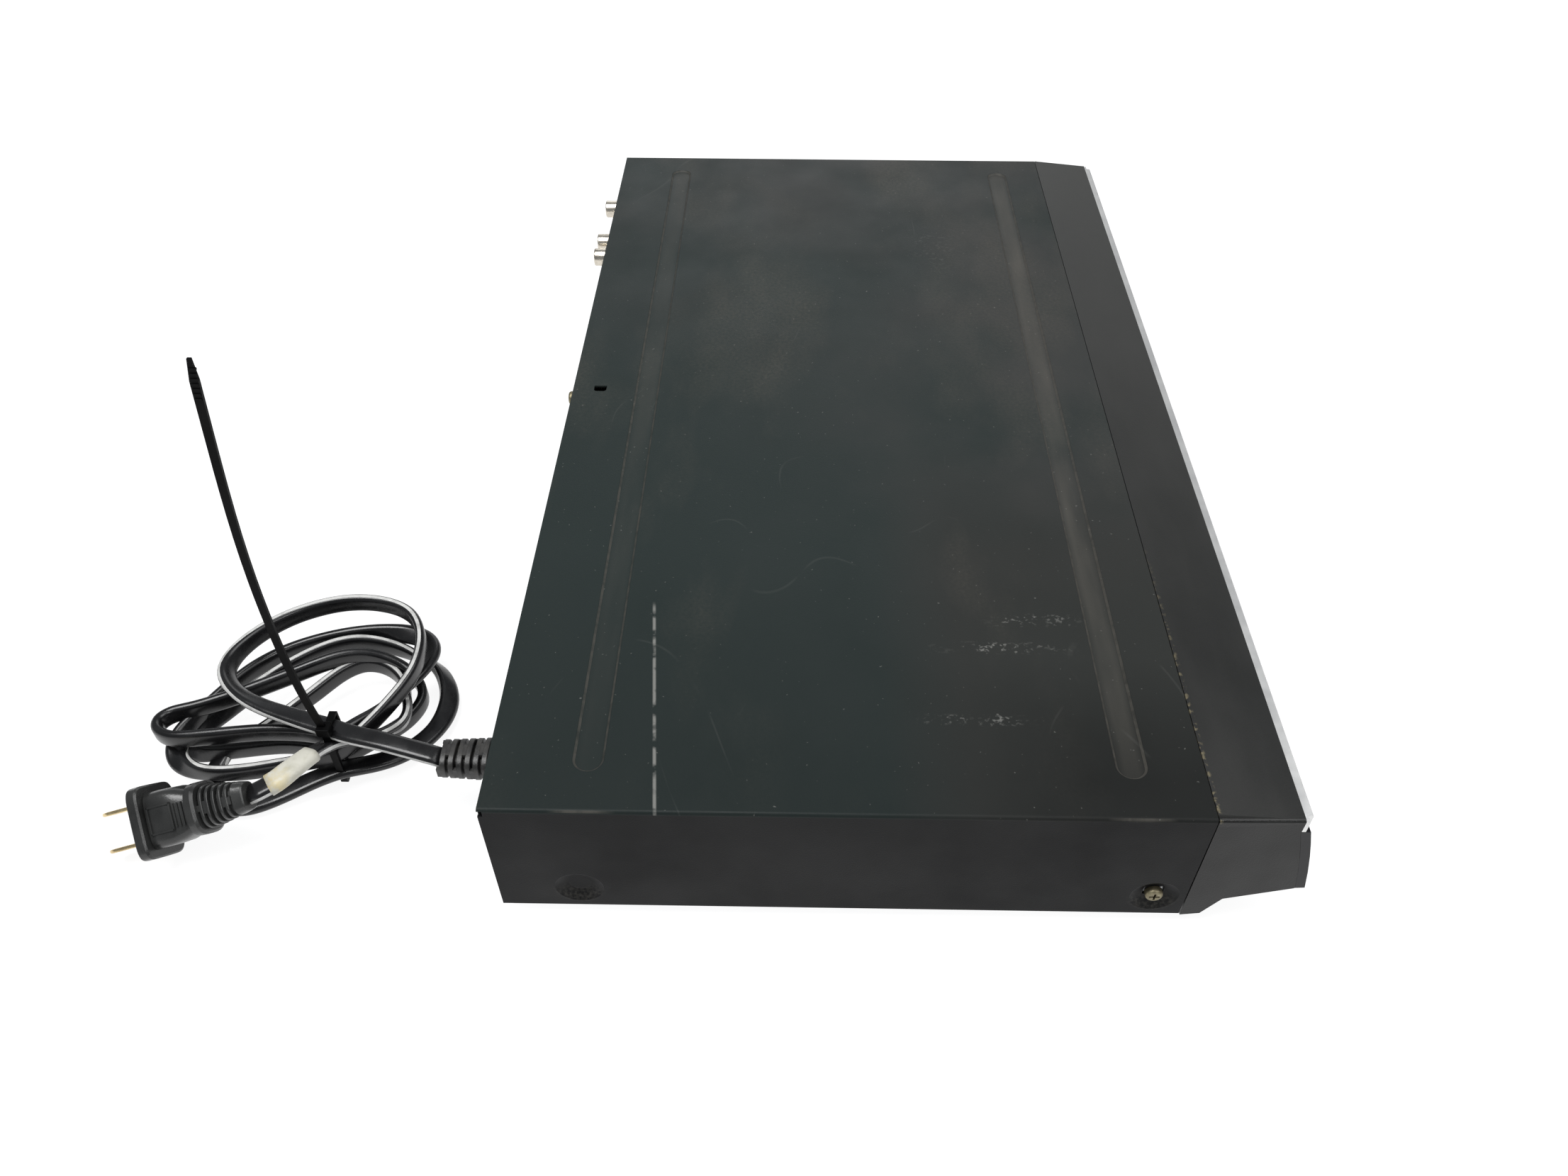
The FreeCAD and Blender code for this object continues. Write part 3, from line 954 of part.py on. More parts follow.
def board_solid(x0, x1, y0, y1):
    board = box(x0, x1, y0, y1, BOARD_LEVEL, BOARD_LEVEL + BOARD_THICKNESS)
    posts = []
    for x in (x0 + 5, x1 - 5):
        for y in (y0 + 5, y1 - 5):
            posts.append(rod(2.5, (x, y, PAN_TOP), (x, y, BOARD_LEVEL)))
    return board, posts


def make_boards():
    top = BOARD_LEVEL + BOARD_THICKNESS
    left = -HALF_WIDTH + 10
    power_x1 = DRIVE_X - DRIVE_WIDTH / 2 - 4
    y0 = SEAM_Y + 40
    y1 = PANEL_INNER - 9
    power, power_posts = board_solid(left, power_x1, y0, y1)
    right = HALF_WIDTH - 10
    main_x0 = DRIVE_X + DRIVE_WIDTH / 2 + 5
    main, main_posts = board_solid(main_x0, right, SEAM_Y + 28, y1)
    save("board_spacers", *(power_posts + main_posts))
    bulk = [rod(9, (left + 16, y0 + 20, top), (left + 16, y0 + 20, top + 28)),
            rod(6, (left + 36, y0 + 18, top), (left + 36, y0 + 18, top + 22)),
            rod(6, (left + 52, y0 + 18, top), (left + 52, y0 + 18, top + 22)),
            rod(4, (main_x0 + 20, SEAM_Y + 50, top), (main_x0 + 20, SEAM_Y + 50, top + 12)),
            rod(4, (main_x0 + 34, SEAM_Y + 50, top), (main_x0 + 34, SEAM_Y + 50, top + 12))]
    save("capacitors", *bulk)
    tx = left + 40
    ty = y0 + 62
    core = box(tx - 16, tx + 16, ty - 14, ty + 14, top, top + 26)
    core = core.cut(box(tx - 10, tx + 10, ty - 15, ty + 15, top + 4, top + 22))
    winding = box(tx - 9.8, tx + 9.8, ty - 17, ty + 17, top + 4.2, top + 21.8)
    save("transformer", core, winding)
    fins = box(left + 8, left + 11, y0 + 45, y0 + 110, top, top + 30)
    for i in range(8):
        fins = fins.fuse(box(left + 11, left + 19, y0 + 46 + i * 9, y0 + 48 + i * 9, top, top + 30))
    save("heat_sink", fins)
    chips = []
    main_y0 = SEAM_Y + 28
    for from_left, from_front, size, height in CHIPS:
        x = main_x0 + from_left
        y = main_y0 + from_front
        chips.append(box(x - size / 2, x + size / 2, y - size / 2, y + size / 2, top, top + height))
    save("main_board", main, *chips)
    inlet_x = -HALF_WIDTH + CORD_FROM_SIDE
    inlet = box(inlet_x - 9, inlet_x + 9, y1 - 14, y1 - 2, top, top + 12)
    save("power_board", power, inlet)
    ribbons = []
    side_x = DRIVE_X + DRIVE_WIDTH / 2
    end_x = main_x0 + RIBBON_REACH
    level = top + RIBBON_RISE
    for y in (SPINDLE_Y + 50, SPINDLE_Y + 74):
        outline = [(side_x, level), (end_x, level), (end_x, top), (end_x + RIBBON_THICKNESS, top),
                   (end_x + RIBBON_THICKNESS, level + RIBBON_THICKNESS), (side_x, level + RIBBON_THICKNESS)]
        face = face_from([(x, y, z) for x, z in outline])
        ribbons.append(face.extrude(V(0, RIBBON_WIDTH, 0)))
    save("ribbon_cables", *ribbons)


def make_rear_sockets():
    tips = REAR_Y + SOCKET_REACH
    barrels = []
    inserts = []
    for distances, z in ((TOP_ROW_FROM_SIDE, TOP_ROW_HEIGHT), (LOW_ROW_FROM_SIDE, LOW_ROW_HEIGHT)):
        for x in socket_xs(distances):
            barrel = rod(SOCKET_RADIUS, (x, PANEL_INNER, z), (x, tips, z))
            collar_end = (x, PANEL_OUTER + SOCKET_COLLAR, z)
            barrel = barrel.fuse(rod(SOCKET_COLLAR_RADIUS, (x, PANEL_OUTER, z), collar_end))
            barrel = barrel.cut(rod(SOCKET_BORE_RADIUS, (x, PANEL_INNER - 1, z), (x, tips + 1, z)))
            end_edges = [e for e in barrel.Edges if e.CenterOfMass.y > tips - 0.01]
            circles = [e for e in end_edges if e.Curve.TypeId == "Part::GeomCircle"]
            lips = [e for e in circles if e.Curve.Radius > SOCKET_RADIUS - 0.01]
            barrels.append(barrel.makeFillet(0.6, lips))
            insert_end = (x, tips - 1.2, z)
            inserts.append(ring(SOCKET_BORE_RADIUS, SOCKET_PIN_RADIUS, (x, PANEL_INNER, z), insert_end))
    save("socket_barrels", *barrels)
    save("socket_inserts", *inserts)
    half = SOCKET_BLOCK_HALF
    top_board = BOARD_LEVEL + BOARD_THICKNESS
    blocks = []
    depth = 9.0
    xs = socket_xs(LOW_ROW_FROM_SIDE)
    for x in (xs[0], xs[1]):
        high = TOP_ROW_HEIGHT + half if x == xs[1] else LOW_ROW_HEIGHT + half
        blocks.append(box(x - half, x + half, PANEL_INNER - depth, PANEL_INNER, top_board, high))
    pair = box(xs[3] - half, xs[2] + half, PANEL_INNER - depth, PANEL_INNER, top_board, TOP_ROW_HEIGHT + half)
    blocks.append(pair)
    save("socket_blocks", *blocks)
    s_x = HALF_WIDTH - S_VIDEO_FROM_SIDE
    z = LOW_ROW_HEIGHT
    s_body = rod(S_VIDEO_RADIUS, (s_x, PANEL_INNER - depth, z), (s_x, PANEL_OUTER + 1.2, z))
    s_body = s_body.cut(ring(4.2, 1.6, (s_x, PANEL_OUTER - 4, z), (s_x, PANEL_OUTER + 2, z)))
    s_foot = box(s_x - S_VIDEO_RADIUS, s_x + S_VIDEO_RADIUS, PANEL_INNER - depth, PANEL_INNER, top_board, z)
    s_body = s_body.fuse(s_foot)
    h_x = HALF_WIDTH - HDMI_FROM_SIDE
    back = PANEL_INNER - 11
    shell = box(h_x - HDMI_HALF_WIDTH, h_x + HDMI_HALF_WIDTH, back, PANEL_OUTER + 0.8,
                z - HDMI_HALF_HEIGHT, z + HDMI_HALF_HEIGHT)
    tongue = box(h_x - 5.2, h_x + 5.2, PANEL_INNER - 10, PANEL_OUTER, z - 0.2, z + 1.0)
    legs = box(h_x - 7, h_x + 7, back, PANEL_INNER - 1, top_board, z - HDMI_HALF_HEIGHT)
    digital = shell.cut(flat_mouth(h_x)).fuse(tongue).fuse(legs).removeSplitter()
    save("video_sockets", s_body.removeSplitter(), digital)
    threads = []
    for x in socket_xs(ANTENNA_FROM_SIDE):
        body = ring(ANTENNA_RADIUS, 2.0, (x, PANEL_INNER, z), (x, tips - 0.5, z))
        for i in range(6):
            y = PANEL_OUTER + 2.0 + i
            thread = ring(ANTENNA_RADIUS + 1, ANTENNA_RADIUS - 0.35, (x, y, z), (x, y + 0.45, z))
            body = body.cut(thread)
        threads.append(body)
    xs = socket_xs(ANTENNA_FROM_SIDE)
    can = box(min(xs) - 10, max(xs) + 10, PANEL_INNER - 48, PANEL_INNER, top_board, ANTENNA_CAN_TOP)
    save("antenna_sockets", can, *threads)


def flat_mouth(x):
    """Flared mouth of the flat digital socket."""
    z = LOW_ROW_HEIGHT
    points = [(-6.9, 2.3), (6.9, 2.3), (6.9, -0.4), (5.3, -2.3), (-5.3, -2.3), (-6.9, -0.4)]
    face = face_from([(x + px, PANEL_INNER - 9, z + pz) for px, pz in points])
    return face.extrude(V(0, 20, 0))


def make_fan():
    half = FAN_SIZE / 2
    y1 = PANEL_INNER
    y0 = y1 - FAN_DEPTH
    housing = box(FAN_X - half, FAN_X + half, y0, y1, FAN_LEVEL - half, FAN_LEVEL + half)
    housing = housing.cut(rod(18.8, (FAN_X, y0 - 1, FAN_LEVEL), (FAN_X, y1 + 1, FAN_LEVEL)))
    hub = rod(9.0, (FAN_X, y1 - 1.6, FAN_LEVEL), (FAN_X, y1, FAN_LEVEL))
    housing = housing.fuse(hub)
    for turn in range(3):
        strut = box(FAN_X - 1.2, FAN_X + 1.2, y1 - 1.6, y1, FAN_LEVEL, FAN_LEVEL + 19.4)
        strut.rotate(V(FAN_X, y1, FAN_LEVEL), V(0, 1, 0), 120 * turn + 20)
        housing = housing.fuse(strut)
    pin = rod(1.0, (FAN_X, y0 + 2, FAN_LEVEL), (FAN_X, y1 - 1.2, FAN_LEVEL))
    save("fan_housing", housing.fuse(pin).removeSplitter())
    rotor_y1 = y1 - 1.6 - MOVING_GAP
    rotor = rod(9.5, (FAN_X, y0 + 0.6, FAN_LEVEL), (FAN_X, rotor_y1, FAN_LEVEL))
    for turn in range(7):
        blade = box(FAN_X - 0.5, FAN_X + 0.5, y0 + 1.0, rotor_y1 - 0.5, FAN_LEVEL + 8, FAN_LEVEL + 18.2)
        middle = V(FAN_X, (y0 + rotor_y1) / 2, FAN_LEVEL + 13)
        blade.rotate(middle, V(0, 0, 1), 38)
        blade.rotate(V(FAN_X, y1, FAN_LEVEL), V(0, 1, 0), 360 / 7 * turn)
        rotor = rotor.fuse(blade)
    rotor = rotor.common(rod(18.3, (FAN_X, y0 + 0.6, FAN_LEVEL), (FAN_X, rotor_y1, FAN_LEVEL)))
    rotor = rotor.cut(rod(1.0 + SPIN_CLEARANCE, (FAN_X, y0 + 1.7, FAN_LEVEL), (FAN_X, y1, FAN_LEVEL)))
    save("fan_rotor", rotor.removeSplitter())


def make_screws():
    screws = []
    z = FOOT_HEIGHT + DIMPLE_HEIGHT
    y = REAR_Y - FRONT_DIMPLE_FROM_REAR
    for side in (-1, 1):
        screws.append(pan_head_screw(side * (HALF_WIDTH - DIMPLE_DEPTH), y, z, V(side, 0, 0)))
    screws.append(pan_head_screw(0, REAR_Y, TOP_Z - REAR_SCREW_DROP, V(0, 1, 0)))
    for side in (-1, 1):
        for y in (DRIVE_FRONT + 12, DRIVE_REAR - 12):
            x = DRIVE_X + side * (DRIVE_WIDTH / 2 - 6)
            seat_z = DRIVE_LID_HEIGHT + PAN_SHEET
            screws.append(rod(2.6, (x, y, seat_z), (x, y, seat_z + 1.6)))
    save("screws", *screws)


# Power cord

CORD_X = -HALF_WIDTH + CORD_FROM_SIDE
RELIEF_TIP_Y = PANEL_OUTER + RELIEF_LENGTH
PLUG_CENTRE = V(-190.9, 249.5, 13.4)
PLUG_ROLL = V(-0.720, -0.284, -0.633)
PLUG_RELIEF_TIP = V(-187.9, 213.6, 26.0)
TIE_X = -164.0
TIE_Y = 193.5
BUNDLE_WIDTH = 8.6
BUNDLE_TOP = 29.4
COIL_BOTTOM = 0.3
LEAD_ROUTE = [
    (CORD_X, RELIEF_TIP_Y, CORD_LEVEL),
    (-169.3, 161.0, 27.3),
    (-166.9, 172.5, 29.0),
    (-163.2, 186.5, 28.2),
]
END_ROUTE = [
    tuple(PLUG_RELIEF_TIP),
    (-185.2, 206.4, 27.6),
    (-180.0, 200.9, 27.6),
    (-170.4, 194.0, 25.6),
    (-163.5, 184.5, 22.5),
]
COIL_OUTSIDE = [
    (-165, 193.5), (-168, 203), (-177, 218), (-178, 238), (-169, 254), (-152, 267), (-129, 264),
    (-107, 243), (-91, 213), (-94, 190), (-106, 166), (-126, 158), (-146, 164), (-164, 182),
]
COIL_INSIDE = [
    (-153, 207), (-156, 226), (-148, 238), (-134, 232), (-118, 212),
    (-112, 196), (-119, 182), (-132, 180), (-143, 190),
]
TAIL_LINE = [
    (193.5, 30.5), (195.6, 46.0), (196.7, 64.0), (196.9, 84.0),
    (196.3, 104.0), (194.4, 130.0), (191.3, 158.0), (188.9, 178.0),
]


def make_strain_relief():
    back = PANEL_INNER - 4.0
    x = CORD_X
    z = CORD_LEVEL
    relief = box(x - 7.6, x + 7.6, back, PANEL_INNER, z - 5.8, z + 5.8)
    neck = box(x - RELIEF_NECK_HALF_WIDTH, x + RELIEF_NECK_HALF_WIDTH, PANEL_INNER - 1, PANEL_OUTER + 1,
               z - RELIEF_NECK_HALF_HEIGHT, z + RELIEF_NECK_HALF_HEIGHT)
    relief = relief.fuse(neck)
    relief = relief.fuse(box(x - 7.0, x + 7.0, PANEL_OUTER, PANEL_OUTER + 2.4, z - 5.4, z + 5.4))
    core = box(x - 4.3, x + 4.3, PANEL_OUTER, RELIEF_TIP_Y, z - 2.7, z + 2.7)
    relief = relief.fuse(core)
    for i in range(RELIEF_RINGS):
        start = PANEL_OUTER + 5.2 + i * RELIEF_PITCH
        half_w = 5.9 - 0.14 * i
        half_h = 4.5 - 0.14 * i
        collar = box(x - half_w, x + half_w, start, start + 1.8, z - half_h, z + half_h)
        collar = collar.makeFillet(1.6, [e for e in collar.Edges if abs(e.tangentAt(0).y) > 0.9])
        bridge_w = 1.4 if i % 2 else half_w
        bridge_h = half_h - 0.2 if i % 2 else 1.4
        bridge = box(x - bridge_w, x + bridge_w, start - 1.4, start + 0.2, z - bridge_h, z + bridge_h)
        relief = relief.fuse(collar).fuse(bridge)
    sleeve = box(x - 5.2, x + 5.2, RELIEF_TIP_Y - 4.6, RELIEF_TIP_Y, z - 3.7, z + 3.7)
    sleeve = sleeve.makeFillet(1.8, [e for e in sleeve.Edges if abs(e.tangentAt(0).y) > 0.9])
    relief = relief.fuse(sleeve)
    save("strain_relief", relief.removeSplitter())


def cord_tube(name, route):
    """Round tube of the flat lead's own section area along straight runs joined by tangent arcs."""
    area = (CORD_WIDTH - CORD_THICKNESS) * CORD_THICKNESS + math.pi * CORD_THICKNESS ** 2 / 4
    radius = math.sqrt(area / math.pi)
    points = [V(*p) for p in route]
    edges = []
    start = points[0]
    for before, corner, after in zip(points, points[1:], points[2:]):
        run_in = corner - before
        run_out = after - corner
        turn = run_in.getAngle(run_out)
        shorter = min(run_in.Length, run_out.Length)
        reach = 0.45 * shorter
        arc_radius = reach / math.tan(turn / 2)
        print(name, "arc radius", round(arc_radius, 1), "mm")
        arc_in = corner - V(run_in).normalize() * reach
        arc_out = corner + V(run_out).normalize() * reach
        bisector = (V(run_out).normalize() - V(run_in).normalize()).normalize()
        middle = corner + bisector * (math.hypot(arc_radius, reach) - arc_radius)
        edges.append(Part.LineSegment(start, arc_in).toShape())
        edges.append(Part.Arc(arc_in, middle, arc_out).toShape())
        start = arc_out
    edges.append(Part.LineSegment(start, points[-1]).toShape())
    path = Part.Wire(edges)
    profile = Part.Wire([Part.Circle(points[0], points[1] - points[0], radius).toShape()])
    tube = path.makePipeShell([profile], True, False)
    save(name, tube)
    return tube


def make_coil(tie, plug):
    """One closed ring with the outer shape of the loose turns."""
    loops = []
    for points in (COIL_OUTSIDE, COIL_INSIDE):
        curve = Part.BSplineCurve()
        curve.interpolate([V(x, y, COIL_BOTTOM) for x, y in points], PeriodicFlag=True)
        loops.append(Part.Wire([curve.toShape()]))
    ring_solid = Part.Face(loops[0]).extrude(V(0, 0, BUNDLE_TOP - 1.0))
    hole = Part.Face(loops[1]).extrude(V(0, 0, BUNDLE_TOP + 5))
    coil = ring_solid.cut(hole)
    label_shelf = box(-200, -162.5, 194.9, 224, 18.0, 60)
    coil = coil.cut(label_shelf).cut(tie).cut(plug)
    save("cord_coil", coil)


def make_tie():
    x0 = TIE_X
    x1 = TIE_X + BUNDLE_WIDTH
    y0 = TIE_Y - TIE_WIDTH / 2
    y1 = TIE_Y + TIE_WIDTH / 2
    band = box(x0 - TIE_THICKNESS, x1 + TIE_THICKNESS, y0, y1, TIE_BOTTOM, BUNDLE_TOP + TIE_THICKNESS)
    band = band.cut(box(x0, x1, y0 - 1, y1 + 1, TIE_BOTTOM + TIE_THICKNESS, BUNDLE_TOP))
    outside = [e for e in band.Edges if e.CenterOfMass.x < x0 - 0.5 or e.CenterOfMass.x > x1 + 0.5]
    band = band.makeFillet(1.0, [e for e in outside if abs(e.tangentAt(0).y) > 0.9])
    head_low = BUNDLE_TOP + TIE_THICKNESS - 0.4
    head = box(TIE_X - 2.4, TIE_X + 2.2, TIE_Y - 2.4, TIE_Y + 2.4, head_low, head_low + 3.6)
    head = head.makeFillet(0.5, head.Edges)
    sections = [tail_section(y, z, TIE_WIDTH, TIE_THICKNESS) for y, z in TAIL_LINE]
    tail = Part.makeLoft(sections, True, False)
    tip = Part.makeLoft([sections[-1], tail_section(188.0, 185.0, 1.2, 0.7)], True, True)
    tie = band.fuse(head).fuse(tail).fuse(tip)
    for i in range(TIE_TEETH):
        y = 189.6 - 0.26 * i
        z = 172.0 + TIE_TOOTH_PITCH * i
        tie = tie.fuse(box(TIE_X - TIE_THICKNESS / 2 - 0.25, TIE_X, y - 1.0, y + 1.0, z, z + 0.6))
    tie = tie.removeSplitter()
    save("cable_tie", tie)
    return tie


def tail_section(y, z, width, thickness):
    corners = [V(TIE_X - thickness / 2, y - width / 2, z), V(TIE_X + thickness / 2, y - width / 2, z),
               V(TIE_X + thickness / 2, y + width / 2, z), V(TIE_X - thickness / 2, y + width / 2, z)]
    return Part.makePolygon(corners + corners[:1])


def plug_frame(shape):
    """Moves a shape drawn at the plug's face, blades towards +Y, to where the plug lies."""
    axis = (PLUG_CENTRE - PLUG_RELIEF_TIP).normalize()
    roll = PLUG_ROLL - axis * PLUG_ROLL.dot(axis)
    roll.normalize()
    up = roll.cross(axis)
    matrix = FreeCAD.Matrix(roll.x, axis.x, up.x, PLUG_CENTRE.x, roll.y, axis.y, up.y, PLUG_CENTRE.y,
                            roll.z, axis.z, up.z, PLUG_CENTRE.z, 0, 0, 0, 1)
    moved = shape.copy()
    moved.Placement = FreeCAD.Placement(matrix)
    return moved


def rounded_plate(half_x, half_z, y0, y1, radius):
    plate = box(-half_x, half_x, y0, y1, -half_z, half_z)
    return plate.makeFillet(radius, [e for e in plate.Edges if abs(e.tangentAt(0).y) > 0.9])


def make_plug():
    flange = rounded_plate(*FLANGE_HALF, -FLANGE_BACK, 0.0, 4.0)
    body = rounded_plate(*PLUG_BODY_HALF, -PLUG_BODY_BACK, -FLANGE_BACK, 3.0)
    panel_z = PLUG_BODY_HALF[1] - PLUG_PANEL_DEPTH
    panel = box(-PLUG_PANEL_HALF, PLUG_PANEL_HALF, -PLUG_PANEL[1], -PLUG_PANEL[0], panel_z, panel_z + 2)
    body = body.cut(panel)
    neck = rounded_plate(*PLUG_NECK_HALF, -COLLAR_FRONT, -PLUG_BODY_BACK, 3.0)
    collar = rounded_plate(*COLLAR_HALF, -COLLAR_BACK, -COLLAR_FRONT, 4.0)
    plug = plug_frame(fuse(flange, body, neck, collar))
    collar_middle = plug_frame(Part.Vertex(V(0, -COLLAR_BACK, 0))).Point
    sleeve_axis = PLUG_RELIEF_TIP - collar_middle
    sleeve = Part.makeCone(*PLUG_SLEEVE_RADII, sleeve_axis.Length, collar_middle, sleeve_axis)
    plug = plug.fuse(sleeve).removeSplitter()
    save("plug_body", plug)
    blades = []
    for side, width in ((-1, BLADE_WIDTHS[0]), (1, BLADE_WIDTHS[1])):
        x = side * BLADE_PITCH / 2
        blade = box(x - BLADE_THICKNESS / 2, x + BLADE_THICKNESS / 2, 0, BLADE_LENGTH, -width / 2, width / 2)
        tip = [e for e in blade.Edges if e.CenterOfMass.y > BLADE_LENGTH - 0.01]
        blades.append(plug_frame(blade.makeFillet(0.5, tip)))
    save("plug_blades", *blades)
    return plug


def make_label(tube):
    a = V(*END_ROUTE[1])
    b = V(*END_ROUTE[3])
    along = b - a
    middle = (a + b) * 0.5
    label = Part.makeBox(*LABEL_SIZE, V(*LABEL_SIZE) * -0.5)
    label.Placement = FreeCAD.Placement(middle, FreeCAD.Rotation(V(0, 0, 1), along))
    save("cord_label", label.cut(tube))


def main():
    os.makedirs("parts", exist_ok=True)
    make_top_cover()
    make_chassis_pan()
    make_feet()
    make_rear_panel()
    make_bezel()
    make_front_plate()
    make_trim()
    make_buttons()
    make_front_board()
    make_drive_frame()
    make_tray()
    make_loader_gears()
    make_traverse()
    make_spindle_and_sled()
    make_boards()
    make_rear_sockets()
    make_fan()
    make_screws()
    make_strain_relief()
    make_coil(make_tie(), make_plug())
    cord_tube("cord_lead", LEAD_ROUTE)
    make_label(cord_tube("cord_end", END_ROUTE))


main()
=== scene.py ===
import math

import bpy
from mathutils import Matrix, Vector


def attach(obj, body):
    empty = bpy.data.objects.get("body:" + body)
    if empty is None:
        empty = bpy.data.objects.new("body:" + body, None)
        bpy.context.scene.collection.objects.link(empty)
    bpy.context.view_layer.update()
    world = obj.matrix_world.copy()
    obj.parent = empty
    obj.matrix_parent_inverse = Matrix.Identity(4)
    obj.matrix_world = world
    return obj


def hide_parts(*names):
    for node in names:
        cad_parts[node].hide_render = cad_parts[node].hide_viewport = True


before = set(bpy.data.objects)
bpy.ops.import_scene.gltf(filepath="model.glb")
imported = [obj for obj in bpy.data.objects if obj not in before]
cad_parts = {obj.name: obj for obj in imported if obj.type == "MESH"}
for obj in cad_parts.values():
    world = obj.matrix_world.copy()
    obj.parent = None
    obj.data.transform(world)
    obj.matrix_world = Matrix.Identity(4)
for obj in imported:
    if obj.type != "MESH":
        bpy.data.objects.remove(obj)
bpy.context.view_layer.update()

# Camera: it looks down across the left side of the recorder, from where the photograph was taken.
# Its place and directions come from the cover's edges in the photograph.
CAMERA_PLACE = (-0.4260, 0.03095, 0.3661)
CAMERA_FORWARD = (0.7068, 0.0093, -0.7073)
CAMERA_RIGHT = (0.0156, -0.9999, 0.0024)
LENS_MM = 28.04
SENSOR_MM = 36.0
NEAREST_SEEN = 0.01


def turn_from(forward, right):
    """Rotation of a camera that looks forward, with right to its right."""
    back = -Vector(forward).normalized()
    up = back.cross(Vector(right)).normalized()
    return Matrix((up.cross(back), up, back)).transposed().to_quaternion()


camera = bpy.data.objects.new("camera", bpy.data.cameras.new("camera"))
camera.data.lens = LENS_MM
camera.data.sensor_width = SENSOR_MM
camera.data.clip_start = NEAREST_SEEN
camera.location = CAMERA_PLACE
camera.rotation_mode = "QUATERNION"
camera.rotation_quaternion = turn_from(CAMERA_FORWARD, CAMERA_RIGHT)
bpy.context.scene.collection.objects.link(camera)
bpy.context.scene.camera = camera
bpy.context.scene.view_settings.view_transform = "Standard"

# Studio light: a pale room, a large lamp overhead, a soft one in front, a low one at the far side,
# and a small one at the near side that picks out the edges.
# Nothing here is part of the object.
ROOM_COLOUR = (0.93, 0.97, 1.0)
ROOM_STRENGTH = 0.26
ROOM_SEEN = 0.95
LAMPS = {
    "overhead_lamp": {"place": (-0.25, 0.45, 1.40), "size": 0.8, "power": 22.0},
    "front_lamp": {"place": (-0.10, -1.1, 1.3), "size": 1.2, "power": 15.0},
    "far_lamp": {"place": (1.60, 0.10, 0.75), "size": 0.9, "power": 3.0},
    "edge_lamp": {"place": (-1.00, -0.62, 0.95), "size": 0.35, "power": 3.0},
}
LAMP_AIM = Vector((-0.05, 0.05, 0.03))

world = bpy.data.worlds.new("studio_room")
world.use_nodes = True
background = world.node_tree.nodes["Background"]
background.inputs["Color"].default_value = (*ROOM_COLOUR, 1.0)
seen = world.node_tree.nodes.new("ShaderNodeLightPath").outputs["Is Camera Ray"]
brightness = world.node_tree.nodes.new("ShaderNodeMapRange")
brightness.inputs["To Min"].default_value = ROOM_STRENGTH
brightness.inputs["To Max"].default_value = ROOM_SEEN
world.node_tree.links.new(seen, brightness.inputs["Value"])
world.node_tree.links.new(brightness.outputs["Result"], background.inputs["Strength"])
bpy.context.scene.world = world
for lamp_name, facts in LAMPS.items():
    light = bpy.data.lights.new(lamp_name, "AREA")
    light.size = facts["size"]
    light.energy = facts["power"]
    lamp = bpy.data.objects.new(lamp_name, light)
    lamp.location = facts["place"]
    lamp.rotation_mode = "QUATERNION"
    lamp.rotation_quaternion = (LAMP_AIM - Vector(facts["place"])).to_track_quat("-Z", "Y")
    bpy.context.scene.collection.objects.link(lamp)

# Floor: a white light table that the recorder and its cord lie on.
# It glows evenly, so shadows on it stay faint, and its sheet is slightly uneven.
FLOOR_SIZE = 8.0
FLOOR_DROP = 0.0002
FLOOR_PALE = (0.16, 0.16, 0.16)
FLOOR_SHADE = (0.14, 0.14, 0.145)
FLOOR_GLOW = 0.90
FLOOR_ROUGHNESS = 0.85
FLOOR_PATCHES = {"per_metre": 3.0, "spread": (0.3, 0.7)}


def new_material(name, colour, roughness, metallic=0.0):
    """A material and its main shader, ready for a pattern."""
    material = bpy.data.materials.new(name)
    material.use_nodes = True
    shader = material.node_tree.nodes["Principled BSDF"]
    shader.inputs["Base Color"].default_value = (*colour, 1.0)
    shader.inputs["Roughness"].default_value = roughness
    shader.inputs["Metallic"].default_value = metallic
    return material, shader


def add(shader, kind, inputs, **settings):
    """A new node beside the main shader: a socket in its inputs is linked, a number is set."""
    node = shader.id_data.nodes.new("ShaderNode" + kind)
    for name, value in settings.items():
        setattr(node, name, value)
    for key, value in inputs.items():
        if isinstance(value, bpy.types.NodeSocket):
            shader.id_data.links.new(value, node.inputs[key])
        elif isinstance(value, tuple) and node.inputs[key].type == "RGBA":
            node.inputs[key].default_value = (*value, 1.0)
        else:
            node.inputs[key].default_value = value
    return node


def points(shader, stretch=(1, 1, 1), turn=0.0):
    """Where each point is, in metres, stretched and turned about the upright."""
    source = add(shader, "TexCoord", {}).outputs["Object"]
    placed = {"Vector": source, "Scale": stretch, "Rotation": (0.0, 0.0, turn)}
    return add(shader, "Mapping", placed).outputs["Vector"]


def cloud(shader, per_metre, detail=3.0, stretch=(1, 1, 1), turn=0.0):
    """A cloudy pattern from 0 to 1, with that many clouds to the metre."""
    facts = {"Vector": points(shader, stretch, turn), "Scale": per_metre, "Detail": detail}
    return add(shader, "TexNoise", facts).outputs["Fac"]


def ramp(shader, value, low, high, start=0.0, end=1.0):
    """Start below low, end above high, and a straight climb between."""
    facts = {"Value": value, "From Min": low, "From Max": high, "To Min": start, "To Max": end}
    return add(shader, "MapRange", facts).outputs["Result"]


def patches(shader, per_metre, spread, detail=3.0, strength=(0.0, 1.0), stretch=(1, 1, 1), turn=0.0):
    """A cloudy pattern that runs from one strength to the other as the cloud crosses its spread."""
    return ramp(shader, cloud(shader, per_metre, detail, stretch, turn), *spread, *strength)


def mixed(shader, factor, first, second):
    """A colour from first at 0 to second at 1. The node takes colours at 6 and 7 and gives one at 2."""
    return add(shader, "Mix", {0: factor, 6: first, 7: second}, data_type="RGBA").outputs[2]


